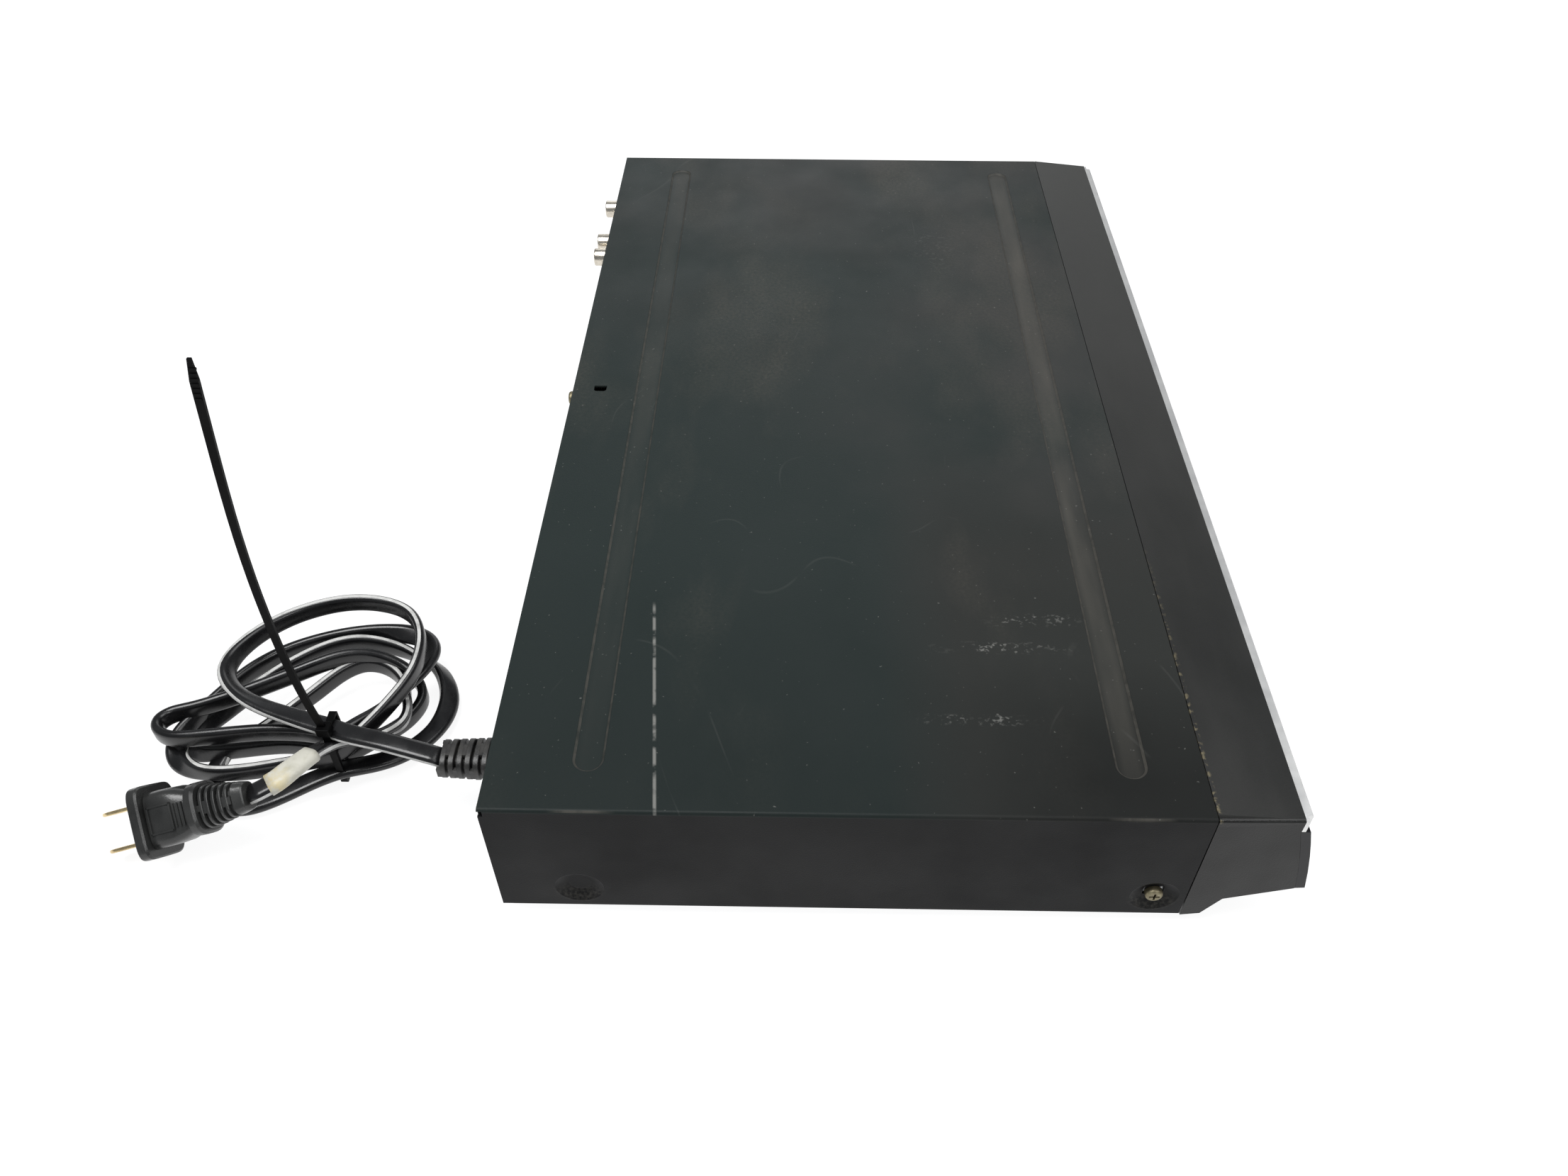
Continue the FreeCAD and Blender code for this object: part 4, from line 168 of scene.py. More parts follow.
def set_look(shader, colour, roughness=None, height=None, depth=0.0):
    """Joins patterns to the main shader: its colour, its roughness and a relief of that depth."""
    links = shader.id_data.links
    links.new(colour, shader.inputs["Base Color"])
    if roughness is not None:
        links.new(roughness, shader.inputs["Roughness"])
    if height is not None:
        relief = add(shader, "Bump", {"Height": height, "Distance": depth, "Strength": 1.0})
        links.new(relief.outputs["Normal"], shader.inputs["Normal"])


def new_piece(name, corners, faces, material):
    """A mesh object of those corners and faces, shaded smooth."""
    mesh = bpy.data.meshes.new(name)
    mesh.from_pydata([tuple(c) for c in corners], [], faces)
    mesh.update()
    mesh.materials.append(material)
    mesh.shade_smooth()
    piece = bpy.data.objects.new(name, mesh)
    bpy.context.scene.collection.objects.link(piece)
    return piece


floor_sheet, floor_shader = new_material("floor_sheet", FLOOR_PALE, FLOOR_ROUGHNESS)
floor_shader.inputs["Emission Color"].default_value = (1.0, 1.0, 1.0, 1.0)
floor_shader.inputs["Emission Strength"].default_value = FLOOR_GLOW
floor_patches = patches(floor_shader, **FLOOR_PATCHES)
set_look(floor_shader, colour=mixed(floor_shader, floor_patches, FLOOR_PALE, FLOOR_SHADE))
floor_half = FLOOR_SIZE / 2
floor_corners = [
    (floor_half * x, floor_half * y, -FLOOR_DROP) for x, y in ((-1, -1), (1, -1), (1, 1), (-1, 1))
]
new_piece("floor", floor_corners, [(0, 1, 2, 3)], floor_sheet)

# Power cord: a flat two-core lead with a pale stripe along one edge. It leaves the strain relief,
# goes five times round a loose coil that a tie holds at its left end, and ends in the plug.
# A point has its place in metres and the cord's roll in degrees: 0 has the stripe on top.
CORD_WIDTH = 0.0076
CORE_RADIUS = 0.0018
SECTION_ANGLES = (0, 20, 42, 66, 90)
STEPS_PER_POINT = 2
STEPS_PER_SPAN = 4
CURVE_ORDER = 3
CORD_BLACK = (0.0040, 0.0040, 0.0045)
CORD_GREY = (0.0085, 0.0085, 0.0092)
STRIPE_WHITE = (0.46, 0.46, 0.45)
STRIPE_WORN = (0.28, 0.28, 0.27)
CORD_HAZE = {"per_metre": 60.0, "detail": 4.0, "spread": (0.42, 0.66)}
CORD_GLOSS = {"per_metre": 180.0, "spread": (0.3, 0.7), "strength": (0.20, 0.32)}
CORD_ROUGHNESS = 0.30
CORD_GRAIN = 1400.0
CORD_GRAIN_DEPTH = 0.00002
GRAIN_DETAIL = 2.0
STRIPE_WEAR = {"per_metre": 220.0, "detail": 5.0, "spread": (0.48, 0.72)}
STRIPE_ROUGHNESS = 0.45
LEAD_ROUTE = [
    (-0.1710, 0.1516, 0.0255, 90),
    (-0.1693, 0.1610, 0.0273, 90),
    (-0.1669, 0.1725, 0.0290, 90),
    (-0.1632, 0.1865, 0.0282, 90),
]
COIL_TURNS = [
    [
        (-0.1598, 0.1935, 0.0272, 90), (-0.1535, 0.2120, 0.0266, 75), (-0.1460, 0.2290, 0.0263, 55),
        (-0.1340, 0.2400, 0.0263, 30), (-0.1190, 0.2365, 0.0263, 8), (-0.1055, 0.2240, 0.0263, 0),
        (-0.0978, 0.2070, 0.0262, 0), (-0.0975, 0.1910, 0.0258, 0), (-0.1030, 0.1785, 0.0252, 0),
        (-0.1150, 0.1723, 0.0242, 0), (-0.1300, 0.1723, 0.0228, 0), (-0.1440, 0.1783, 0.0212, 0),
    ],
    [
        (-0.1540, 0.1858, 0.0182, 0), (-0.1616, 0.1935, 0.0150, 0), (-0.1634, 0.2050, 0.0122, 0),
        (-0.1650, 0.2180, 0.0102, 0), (-0.1665, 0.2300, 0.0092, 0), (-0.1663, 0.2430, 0.0090, 0),
        (-0.1620, 0.2525, 0.0090, -60), (-0.1545, 0.2562, 0.0092, -120), (-0.1460, 0.2550, 0.0096, -165),
        (-0.1375, 0.2495, 0.0110, -180), (-0.1220, 0.2395, 0.0123, -180), (-0.1105, 0.2265, 0.0126, -180),
        (-0.1030, 0.2090, 0.0128, -180), (-0.1010, 0.1915, 0.0130, -150), (-0.1034, 0.1775, 0.0136, -115),
        (-0.1120, 0.1708, 0.0142, -110), (-0.1260, 0.1742, 0.0144, -130), (-0.1410, 0.1828, 0.0150, -160),
    ],
    [
        (-0.1500, 0.1886, 0.0172, -180), (-0.1568, 0.1955, 0.0186, -180), (-0.1550, 0.2080, 0.0180, -180),
        (-0.1546, 0.2220, 0.0176, -180), (-0.1560, 0.2360, 0.0172, -180), (-0.1572, 0.2470, 0.0168, -180),
        (-0.1572, 0.2548, 0.0164, -180), (-0.1542, 0.2606, 0.0160, -180), (-0.1492, 0.2622, 0.0156, -180),
        (-0.1448, 0.2586, 0.0152, -180), (-0.1422, 0.2510, 0.0152, -180), (-0.1360, 0.2370, 0.0158, -180),
        (-0.1260, 0.2180, 0.0170, -180), (-0.1188, 0.2050, 0.0174, -180), (-0.1154, 0.1945, 0.0154, -180),
        (-0.1162, 0.1840, 0.0112, -180), (-0.1205, 0.1763, 0.0076, -180), (-0.1280, 0.1725, 0.0050, -180),
        (-0.1390, 0.1770, 0.0046, -180),
    ],
    [
        (-0.1495, 0.1870, 0.0060, -180), (-0.1566, 0.1950, 0.0076, -180), (-0.1540, 0.2060, 0.0078, -180),
        (-0.1530, 0.2180, 0.0078, -180), (-0.1545, 0.2310, 0.0074, -180), (-0.1552, 0.2420, 0.0064, -190),
        (-0.1548, 0.2492, 0.0054, -215), (-0.1516, 0.2540, 0.0048, -250), (-0.1468, 0.2548, 0.0046, -285),
        (-0.1422, 0.2512, 0.0054, -320), (-0.1376, 0.2455, 0.0072, -340), (-0.1315, 0.2380, 0.0098, -355),
        (-0.1210, 0.2265, 0.0126, -360), (-0.1118, 0.2135, 0.0142, -360), (-0.1070, 0.2010, 0.0142, -360),
        (-0.1066, 0.1885, 0.0110, -360), (-0.1086, 0.1778, 0.0070, -380), (-0.1142, 0.1685, 0.0050, -400),
        (-0.1270, 0.1628, 0.0042, -420), (-0.1410, 0.1646, 0.0042, -450),
    ],
    [
        (-0.1520, 0.1725, 0.0046, -450), (-0.1584, 0.1825, 0.0055, -450), (-0.1626, 0.1935, 0.0070, -450),
        (-0.1668, 0.2040, 0.0056, -450), (-0.1723, 0.2140, 0.0042, -450), (-0.1760, 0.2240, 0.0026, -450),
        (-0.1754, 0.2325, 0.0020, -450), (-0.1690, 0.2396, 0.0020, -450), (-0.1590, 0.2420, 0.0030, -435),
        (-0.1495, 0.2365, 0.0044, -402), (-0.1400, 0.2245, 0.0064, -375), (-0.1300, 0.2130, 0.0094, -360),
        (-0.1212, 0.2046, 0.0114, -360), (-0.1160, 0.1965, 0.0116, -360), (-0.1166, 0.1876, 0.0098, -360),
        (-0.1218, 0.1810, 0.0078, -360), (-0.1300, 0.1780, 0.0090, -356), (-0.1395, 0.1746, 0.0122, -345),
        (-0.1495, 0.1746, 0.0160, -330), (-0.1575, 0.1825, 0.0196, -312), (-0.1626, 0.1920, 0.0228, -300),
    ],
]
END_ROUTE = [
    (-0.1694, 0.1975, 0.0256, -288),
    (-0.1780, 0.2020, 0.0276, -276),
    (-0.1848, 0.2066, 0.0276, -270),
    (-0.1879, 0.2136, 0.0260, -270),
]


def eased_turns(before, turns, after):
    """Points of the coil: each stretch between two chosen points is eased into its neighbours."""
    chosen = [Vector(p) for p in [before, *(p for turn in turns for p in turn), after]]
    route = []
    for i in range(1, len(chosen) - 1):
        last = chosen[i - 1]
        here = chosen[i]
        ahead = chosen[i + 1]
        beyond = chosen[min(i + 2, len(chosen) - 1)]
        for step in range(STEPS_PER_POINT):
            t = step / STEPS_PER_POINT
            bend = (2 * last - 5 * here + 4 * ahead - beyond) * t**2
            turn = (-last + 3 * here - 3 * ahead + beyond) * t**3
            route.append((2 * here + (ahead - last) * t + bend + turn) / 2)
    return route


def smooth_line(name, route):
    """Points along the smooth curve whose control points are the route."""
    curve = bpy.data.curves.new(name, "CURVE")
    curve.dimensions = "3D"
    spline = curve.splines.new("NURBS")
    spline.points.add(len(route) - 1)
    for point, place in zip(spline.points, route):
        point.co = (*place, 1.0)
    spline.order_u = CURVE_ORDER
    spline.use_endpoint_u = True
    spline.resolution_u = STEPS_PER_SPAN
    holder = bpy.data.objects.new(name, curve)
    mesh = bpy.data.meshes.new_from_object(holder)
    line = [v.co.copy() for v in mesh.vertices]
    bpy.data.objects.remove(holder)
    bpy.data.meshes.remove(mesh)
    return line


def cord_section(width, radius):
    """Outline of the flat lead, from its striped edge round, as (along its width, across it)."""
    centre = width / 2 - radius
    quarter = []
    for angle in SECTION_ANGLES:
        turned = math.radians(angle)
        quarter.append((centre + radius * math.cos(turned), radius * math.sin(turned)))
    half = quarter + [(0.0, radius)] + [(-u, v) for u, v in reversed(quarter)]
    return half + [(u, -v) for u, v in reversed(half[1:-1])]


def cord_frames(line, rolls):
    """For each point of the line: the way towards the stripe and the way across the flat side."""
    ways = []
    for i in range(len(line)):
        along = (line[min(i + 1, len(line) - 1)] - line[max(i - 1, 0)]).normalized()
        up = (Vector((0, 0, 1)) - along * along.z).normalized()
        left = up.cross(along)
        roll = math.radians(rolls[i])
        to_stripe = up * math.cos(roll) + left * math.sin(roll)
        ways.append((to_stripe, along.cross(to_stripe)))
    return ways


def skin(corners, around):
    """Faces from each ring of that many corners to the next, with the first and last ring closed."""
    faces = []
    for low in range(0, len(corners) - around, around):
        for here in range(around):
            ahead = (here + 1) % around
            faces.append((low + here, low + ahead, low + around + ahead, low + around + here))
    faces.append(tuple(range(around))[::-1])
    faces.append(tuple(range(len(corners) - around, len(corners))))
    return faces


def swept(line, ways, outline):
    """Corners and faces of an outline carried along a line, with its two ends closed."""
    corners = []
    for place, (wide, across) in zip(line, ways):
        corners.extend(place + wide * u + across * v for u, v in outline)
    return corners, skin(corners, len(outline))


coil_route = eased_turns(LEAD_ROUTE[-1], COIL_TURNS, END_ROUTE[0])
whole_route = [Vector(p) for p in LEAD_ROUTE] + coil_route + [Vector(p) for p in END_ROUTE]
cord_line = smooth_line("cord_line", [p[:3] for p in whole_route])
cord_rolls = [p.x for p in smooth_line("cord_roll", [(p[3], 0.0, 0.0) for p in whole_route])]
cord_ways = cord_frames(cord_line, cord_rolls)

cord_pvc, cord_shader = new_material("cord_pvc", CORD_BLACK, CORD_ROUGHNESS)
cord_haze = patches(cord_shader, **CORD_HAZE)
set_look(
    cord_shader,
    colour=mixed(cord_shader, cord_haze, CORD_BLACK, CORD_GREY),
    roughness=patches(cord_shader, **CORD_GLOSS),
    height=cloud(cord_shader, CORD_GRAIN, GRAIN_DETAIL),
    depth=CORD_GRAIN_DEPTH,
)
stripe_pvc, stripe_shader = new_material("stripe_pvc", STRIPE_WHITE, STRIPE_ROUGHNESS)
stripe_wear = patches(stripe_shader, **STRIPE_WEAR)
set_look(
    stripe_shader,
    colour=mixed(stripe_shader, stripe_wear, STRIPE_WHITE, STRIPE_WORN),
    height=cloud(stripe_shader, CORD_GRAIN, GRAIN_DETAIL),
    depth=CORD_GRAIN_DEPTH,
)
cord_outline = cord_section(CORD_WIDTH, CORE_RADIUS)
cord = new_piece("power_cord", *swept(cord_line, cord_ways, cord_outline), cord_pvc)
cord.data.materials.append(stripe_pvc)
edge_faces = (0, len(cord_outline) - 1)
for number in range((len(cord_line) - 1) * len(cord_outline)):
    if number % len(cord_outline) in edge_faces:
        cord.data.polygons[number].material_index = 1
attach(cord, "casing")
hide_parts("cord_lead", "cord_coil", "cord_end")

# Cord label: a strip of white paper tape, glued round the cord behind the plug.
# It is a little yellowed and scuffed, and stained at the plug's end.
LABEL_FROM_PLUG = (0.0038, 0.0262)
LABEL_LOOSE = 0.0005
LABEL_THICKER = 0.0002
LABEL_PALE = (0.45, 0.44, 0.385)
LABEL_GREY = (0.36, 0.35, 0.29)
LABEL_STAIN = (0.46, 0.36, 0.13)
LABEL_SCUFFS = {"per_metre": 260.0, "detail": 6.0, "spread": (0.50, 0.74)}
LABEL_GLOSS = {"per_metre": 90.0, "spread": (0.3, 0.7), "strength": (0.42, 0.66)}
LABEL_ROUGHNESS = 0.55
LABEL_CRINKLE = {"per_metre": 500.0, "detail": 4.0}
LABEL_CRINKLE_DEPTH = 0.0001
STAIN_REACH = (0.0095, 0.0035, 0.0, 0.7)
STAIN_PATCHES = {"per_metre": 300.0, "detail": 4.0, "spread": (0.40, 0.60)}


def sums(shader, operation, first, second=0.0):
    """One sum on two values, or on the first alone."""
    return add(shader, "Math", {0: first, 1: second}, operation=operation).outputs[0]


def product(shader, first, *others):
    """All the values multiplied."""
    for other in others:
        first = sums(shader, "MULTIPLY", first, other)
    return first


left_to_end = [0.0]
for last, here in zip(cord_line[::-1], cord_line[-2::-1]):
    left_to_end.append(left_to_end[-1] + (here - last).length)
left_to_end.reverse()
label_near, label_far = LABEL_FROM_PLUG
wrapped = [i for i, run in enumerate(left_to_end) if label_near <= run <= label_far]
label_radius = CORE_RADIUS + LABEL_LOOSE + LABEL_THICKER
label_outline = cord_section(CORD_WIDTH + 2 * LABEL_LOOSE, label_radius)
label_paper, label_shader = new_material("label_paper", LABEL_PALE, LABEL_ROUGHNESS)
label_scuffs = patches(label_shader, **LABEL_SCUFFS)
label_colour = mixed(label_shader, label_scuffs, LABEL_PALE, LABEL_GREY)
from_stain = {0: points(label_shader), 1: tuple(cord_line[wrapped[-1]])}
stain_reach = add(label_shader, "VectorMath", from_stain, operation="DISTANCE").outputs["Value"]
stain = ramp(label_shader, stain_reach, *STAIN_REACH)
stain = product(label_shader, stain, patches(label_shader, **STAIN_PATCHES))
set_look(
    label_shader,
    colour=mixed(label_shader, stain, label_colour, LABEL_STAIN),
    roughness=patches(label_shader, **LABEL_GLOSS),
    height=cloud(label_shader, **LABEL_CRINKLE),
    depth=LABEL_CRINKLE_DEPTH,
)
label_parts = swept([cord_line[i] for i in wrapped], [cord_ways[i] for i in wrapped], label_outline)
label = new_piece("cord_label_wrap", *label_parts, label_paper)
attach(label, "casing")
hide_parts("cord_label")

# Plug: a moulded black PVC plug on the end of the cord, with two flat blades, the wider one for neutral.
# A sunk panel on its upper side is outlined by a raised rim, and notched rings lie behind its collar.
# The body is satin with mould bloom; the blades are plated brass, dulled by use.
PLUG_FACE = Vector((-0.1911, 0.2502, 0.0140))
PLUG_WIDE = Vector((-0.720, -0.284, -0.633))
PLUG_TIP = Vector(END_ROUTE[-1][:3])
PLUG_STATIONS = (
    (0.0000, 0.0120, 0.0094, 6), (0.0006, 0.0126, 0.0100, 6), (0.0035, 0.0126, 0.0100, 6),
    (0.0041, 0.0120, 0.0094, 6), (0.0042, 0.0098, 0.0068, 6), (0.0047, 0.0099, 0.0076, 5),
    (0.0080, 0.0098, 0.0082, 5), (0.0125, 0.0095, 0.0081, 5), (0.0155, 0.0088, 0.0076, 4),
    (0.0175, 0.0079, 0.0069, 4), (0.0188, 0.0075, 0.0065, 3.5), (0.0192, 0.0074, 0.0064, 3.5),
    (0.0192, 0.0080, 0.0073, 3), (0.0200, 0.0090, 0.0084, 3), (0.0224, 0.0090, 0.0084, 3),
    (0.0232, 0.0082, 0.0076, 3), (0.0233, 0.0050, 0.0042, 3),
)
PLUG_CORE_BEGINS = 0.0222
PLUG_CORE_SHORT = 0.0036
PLUG_CORE_SIZES = ((0.0058, 0.0050, 2.6), (0.0045, 0.0037, 2.6))
PLUG_SLEEVE_FROM_TIP = (
    (-0.0038, 0.0052, 0.0044, 3), (-0.0035, 0.0056, 0.0048, 3),
    (-0.0004, 0.0049, 0.0041, 3), (0.0, 0.0045, 0.0037, 3),
)
PANEL_FROM_FACE = (0.0062, 0.0146)
PANEL_HALF = 0.0045
PANEL_RIM = 0.0003
PANEL_HEIGHT = 0.0081
RIDGES = ((0.0157, 0.0078), (0.0169, 0.0073), (0.0181, 0.0069))
RIDGE_HALVES = (0.0040, 0.00022, PANEL_RIM)
PLUG_RING_START = 0.0241
PLUG_RING_SIZE = (0.0075, 0.0067)
PLUG_LAST_RING_SIZE = (0.0059, 0.0051)
PLUG_RING_PITCH = 0.0021
PLUG_RING = 0.0011
PLUG_BRIDGES = (0.14, 0.30, 0.0, 0.0, 0.30, 0.22)
RING_SQUARENESS = 2.8
RING_EDGE = 0.0002
BRIDGE_HALF = 0.0007
BRIDGE_INSET = 0.0009
SIDE_BRIDGE_SHARE = 0.4
PLUG_BLACK = (0.0120, 0.0122, 0.0121)
PLUG_BLOOM = (0.0290, 0.0296, 0.0288)
BLADE_PITCH = 0.0127
BLADE_HALF_WIDTHS = {-1: 0.0032, 1: 0.0039}
BLADE_TAPER = (
    (-0.0010, 0.00075, 1.0), (0.0128, 0.00075, 1.0), (0.0146, 0.00070, 0.86), (0.0158, 0.00050, 0.60),
    (0.0165, 0.00025, 0.26),
)
BLADE_SQUARENESS = 7
BLADE_BRIGHT = (0.86, 0.70, 0.40)
BLADE_DULL = (0.50, 0.37, 0.20)
ROUND_STEPS = 40
SHARP_ANGLE = math.radians(32)
WANDER_DETAIL = 4.0
WANDER_SPREAD = (0.36, 0.68)
GLOSS_FINER = 3.3
GLOSS_SPREAD = (0.3, 0.7)
GLOSS_RANGE = (0.88, 1.15)


def grained(name, dark, light, roughness, per_metre, grain, depth, metallic=0.0):
    """A material that wanders between two shades in patches, with a fine grain, both to the metre."""
    material, shader = new_material(name, dark, roughness, metallic)
    wander = patches(shader, per_metre, WANDER_SPREAD, WANDER_DETAIL)
    glossier, duller = (roughness * share for share in GLOSS_RANGE)
    set_look(
        shader,
        colour=mixed(shader, wander, dark, light),
        roughness=patches(shader, per_metre * GLOSS_FINER, GLOSS_SPREAD, strength=(glossier, duller)),
        height=cloud(shader, grain, GRAIN_DETAIL),
        depth=depth,
    )
    return material


def squared_round(half_wide, half_high, squareness):
    """Outline between an ellipse, at 2, and a rectangle, at a large squareness."""
    outline = []
    for step in range(ROUND_STEPS):
        angle = 2 * math.pi * step / ROUND_STEPS
        across = math.copysign(abs(math.cos(angle)) ** (2 / squareness), math.cos(angle))
        upward = math.copysign(abs(math.sin(angle)) ** (2 / squareness), math.sin(angle))
        outline.append((half_wide * across, half_high * upward))
    return outline


def square_axes(back, wide):
    """Three axes at right angles, (wide, back, high), from a way back and a rough way to the wide side."""
    back = back.normalized()
    wide = (wide - back * wide.dot(back)).normalized()
    return wide, back, wide.cross(back)


def lofted(start, back, wide, stations):
    """Closed skin through outlines set back from start: (distance, half wide, half high, squareness)."""
    wide, back, high = square_axes(back, wide)
    corners = []
    for distance, half_wide, half_high, squareness in stations:
        centre = start + back * distance
        outline = squared_round(half_wide, half_high, squareness)
        corners.extend(centre + wide * u + high * v for u, v in outline)
    return corners, skin(corners, ROUND_STEPS)


def block(centre, axes, halves):
    """Box about a centre, with half sizes along three axes."""
    corners = []
    for k in (-1, 1):
        for i, j in ((-1, -1), (1, -1), (1, 1), (-1, 1)):
            corner = centre + axes[0] * i * halves[0] + axes[1] * j * halves[1]
            corners.append(corner + axes[2] * k * halves[2])
    faces = [(0, 3, 2, 1), (4, 5, 6, 7), (0, 1, 5, 4), (1, 2, 6, 5), (2, 3, 7, 6), (3, 0, 4, 7)]
    return corners, faces


def joined(*parts):
    """Several skins as one list of corners and one of faces."""
    corners = []
    faces = []
    for part_corners, part_faces in parts:
        faces.extend(tuple(i + len(corners) for i in face) for face in part_faces)
        corners.extend(part_corners)
    return corners, faces


def notched_rings(start, back, wide, first, last, pitch, thickness, bridges):
    """Rings that shrink from first to last, (half wide, half high), bridged in pairs before and after each.
    A bridge is on the high sides, that share of them wide, or on the wide sides where its share is 0."""
    axes = square_axes(back, wide)
    wide, back, high = axes
    count = len(bridges) - 1
    half_gap = (pitch - thickness) / 2
    parts = []
    for number in range(count + 1):
        share = min(number, count - 1) / (count - 1)
        half_wide = first[0] + (last[0] - first[0]) * share
        half_high = first[1] + (last[1] - first[1]) * share
        at = number * pitch
        if number < count:
            parts.append(lofted(start, back, wide, (
                (at, half_wide - RING_EDGE, half_high - RING_EDGE, RING_SQUARENESS),
                (at + RING_EDGE, half_wide, half_high, RING_SQUARENESS),
                (at + thickness - RING_EDGE, half_wide, half_high, RING_SQUARENESS),
                (at + thickness, half_wide - RING_EDGE, half_high - RING_EDGE, RING_SQUARENESS),
            )))
        centre = start + back * (at - half_gap)
        for side in (-1, 1):
            if bridges[number]:
                place = centre + high * side * (half_high - BRIDGE_INSET)
                halves = (half_wide * bridges[number], half_gap + RING_EDGE, BRIDGE_HALF)
            else:
                place = centre + wide * side * (half_wide - BRIDGE_INSET)
                halves = (BRIDGE_HALF, half_gap + RING_EDGE, half_high * SIDE_BRIDGE_SHARE)
            parts.append(block(place, axes, halves))
    return parts


plug_pvc = grained(
    "plug_pvc", PLUG_BLACK, PLUG_BLOOM, roughness=0.27, per_metre=70.0, grain=1500.0, depth=0.00004,
)
plug_length = (PLUG_TIP - PLUG_FACE).length
plug_axes = square_axes(PLUG_TIP - PLUG_FACE, PLUG_WIDE)
plug_wide, plug_back, plug_high = plug_axes
core_ends = (PLUG_CORE_BEGINS, plug_length - PLUG_CORE_SHORT)
plug_core = [(at, *size) for at, size in zip(core_ends, PLUG_CORE_SIZES)]
plug_sleeve = [(plug_length + at, *size) for at, *size in PLUG_SLEEVE_FROM_TIP]
panel_middle = PLUG_FACE + plug_back * (sum(PANEL_FROM_FACE) / 2) + plug_high * PANEL_HEIGHT
panel_half_long = (PANEL_FROM_FACE[1] - PANEL_FROM_FACE[0]) / 2
panel_rims = []
for side in (-1, 1):
    across_rim = panel_middle + plug_back * side * panel_half_long
    along_rim = panel_middle + plug_wide * side * PANEL_HALF
    panel_rims.append(block(across_rim, plug_axes, (PANEL_HALF + PANEL_RIM, PANEL_RIM, PANEL_RIM)))
    panel_rims.append(block(along_rim, plug_axes, (PANEL_RIM, panel_half_long + PANEL_RIM, PANEL_RIM)))
for ridge_back, ridge_height in RIDGES:
    ridge_middle = PLUG_FACE + plug_back * ridge_back + plug_high * ridge_height
    panel_rims.append(block(ridge_middle, plug_axes, RIDGE_HALVES))
ring_start = PLUG_FACE + plug_back * PLUG_RING_START
plug_rings = notched_rings(
    ring_start, plug_back, plug_wide, PLUG_RING_SIZE, PLUG_LAST_RING_SIZE,
    PLUG_RING_PITCH, PLUG_RING, PLUG_BRIDGES,
)
plug_parts = joined(
    lofted(PLUG_FACE, plug_back, plug_wide, PLUG_STATIONS),
    lofted(PLUG_FACE, plug_back, plug_wide, plug_core),
    *plug_rings,
    lofted(PLUG_FACE, plug_back, plug_wide, plug_sleeve),
    *panel_rims,
)
plug = new_piece("plug_moulding", *plug_parts, plug_pvc)
plug.data.set_sharp_from_angle(angle=SHARP_ANGLE)
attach(plug, "casing")
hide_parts("plug_body")
blade_metal = grained(
    "blade_metal", BLADE_BRIGHT, BLADE_DULL,
    roughness=0.28, per_metre=160.0, grain=2500.0, depth=0.00002, metallic=1.0,
)
blade_parts = []
for side, half_width in BLADE_HALF_WIDTHS.items():
    blade_root = PLUG_FACE + plug_wide * side * BLADE_PITCH / 2
    blade_stations = [
        (reach, thick, half_width * share, BLADE_SQUARENESS) for reach, thick, share in BLADE_TAPER
    ]
    blade_parts.append(lofted(blade_root, -plug_back, plug_wide, blade_stations))
blades = new_piece("plug_blade_pair", *joined(*blade_parts), blade_metal)
blades.data.set_sharp_from_angle(angle=SHARP_ANGLE)
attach(blades, "casing")
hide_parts("plug_blades")

# Strain relief: a moulded black rubber sleeve of notched rings round the cord, dusty on top.
# Its flange lies against the rear panel, and its root is clipped in the panel's hole.
RELIEF_TIP = Vector(LEAD_ROUTE[0][:3])
RELIEF_WAY = Vector((0.0, -1.0, 0.0))
RELIEF_WIDE = Vector((1.0, 0.0, 0.0))
RELIEF_RING_SIZE = (0.0066, 0.0050)
RELIEF_ROOT_SIZE = (0.0074, 0.0056)
RELIEF_BRIDGES = (0.0, 0.34, 0.0, 0.34, 0.0, 0.34, 0.0)
RELIEF_PITCH = 0.0029
RELIEF_RING = 0.0019
RELIEF_CORE = ((0.0002, 0.0046, 0.0030, 2.6), (0.0174, 0.0050, 0.0034, 2.6))
RELIEF_ROOT = (
    (0.0174, 0.0058, 0.0042, 4), (0.0230, 0.0058, 0.0042, 4), (0.0230, 0.0075, 0.0057, 5),
    (0.0256, 0.0075, 0.0057, 5), (0.0256, 0.0060, 0.0046, 5), (0.0306, 0.0056, 0.0042, 5),
)
RELIEF_BLACK = (0.0090, 0.0090, 0.0090)
RELIEF_DUSTY = (0.0360, 0.0345, 0.0320)
relief_rings = notched_rings(
    RELIEF_TIP, RELIEF_WAY, RELIEF_WIDE, RELIEF_RING_SIZE, RELIEF_ROOT_SIZE,
    RELIEF_PITCH, RELIEF_RING, RELIEF_BRIDGES,
)
relief_parts = joined(
    lofted(RELIEF_TIP, RELIEF_WAY, RELIEF_WIDE, RELIEF_CORE),
    *relief_rings,
    lofted(RELIEF_TIP, RELIEF_WAY, RELIEF_WIDE, RELIEF_ROOT),
)
relief_rubber = grained(
    "relief_rubber", RELIEF_BLACK, RELIEF_DUSTY, roughness=0.42, per_metre=240.0, grain=1800.0, depth=0.00008,
)
relief = new_piece("strain_relief_rings", *relief_parts, relief_rubber)
relief.data.set_sharp_from_angle(angle=SHARP_ANGLE)
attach(relief, "casing")
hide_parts("strain_relief")

# Cable tie: a black nylon strap round the coil, its tail standing up, with teeth on one side.
# It is blacker and duller than the cord.
TIE_BLACK = (0.0018, 0.0018, 0.0019)
TIE_GREY = (0.0040, 0.0040, 0.0043)
TIE_SHEEN = 0.06


def coat(material, *nodes):
    """Gives CAD nodes a material."""
    for node in nodes:
        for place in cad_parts[node].material_slots:
            place.material = material


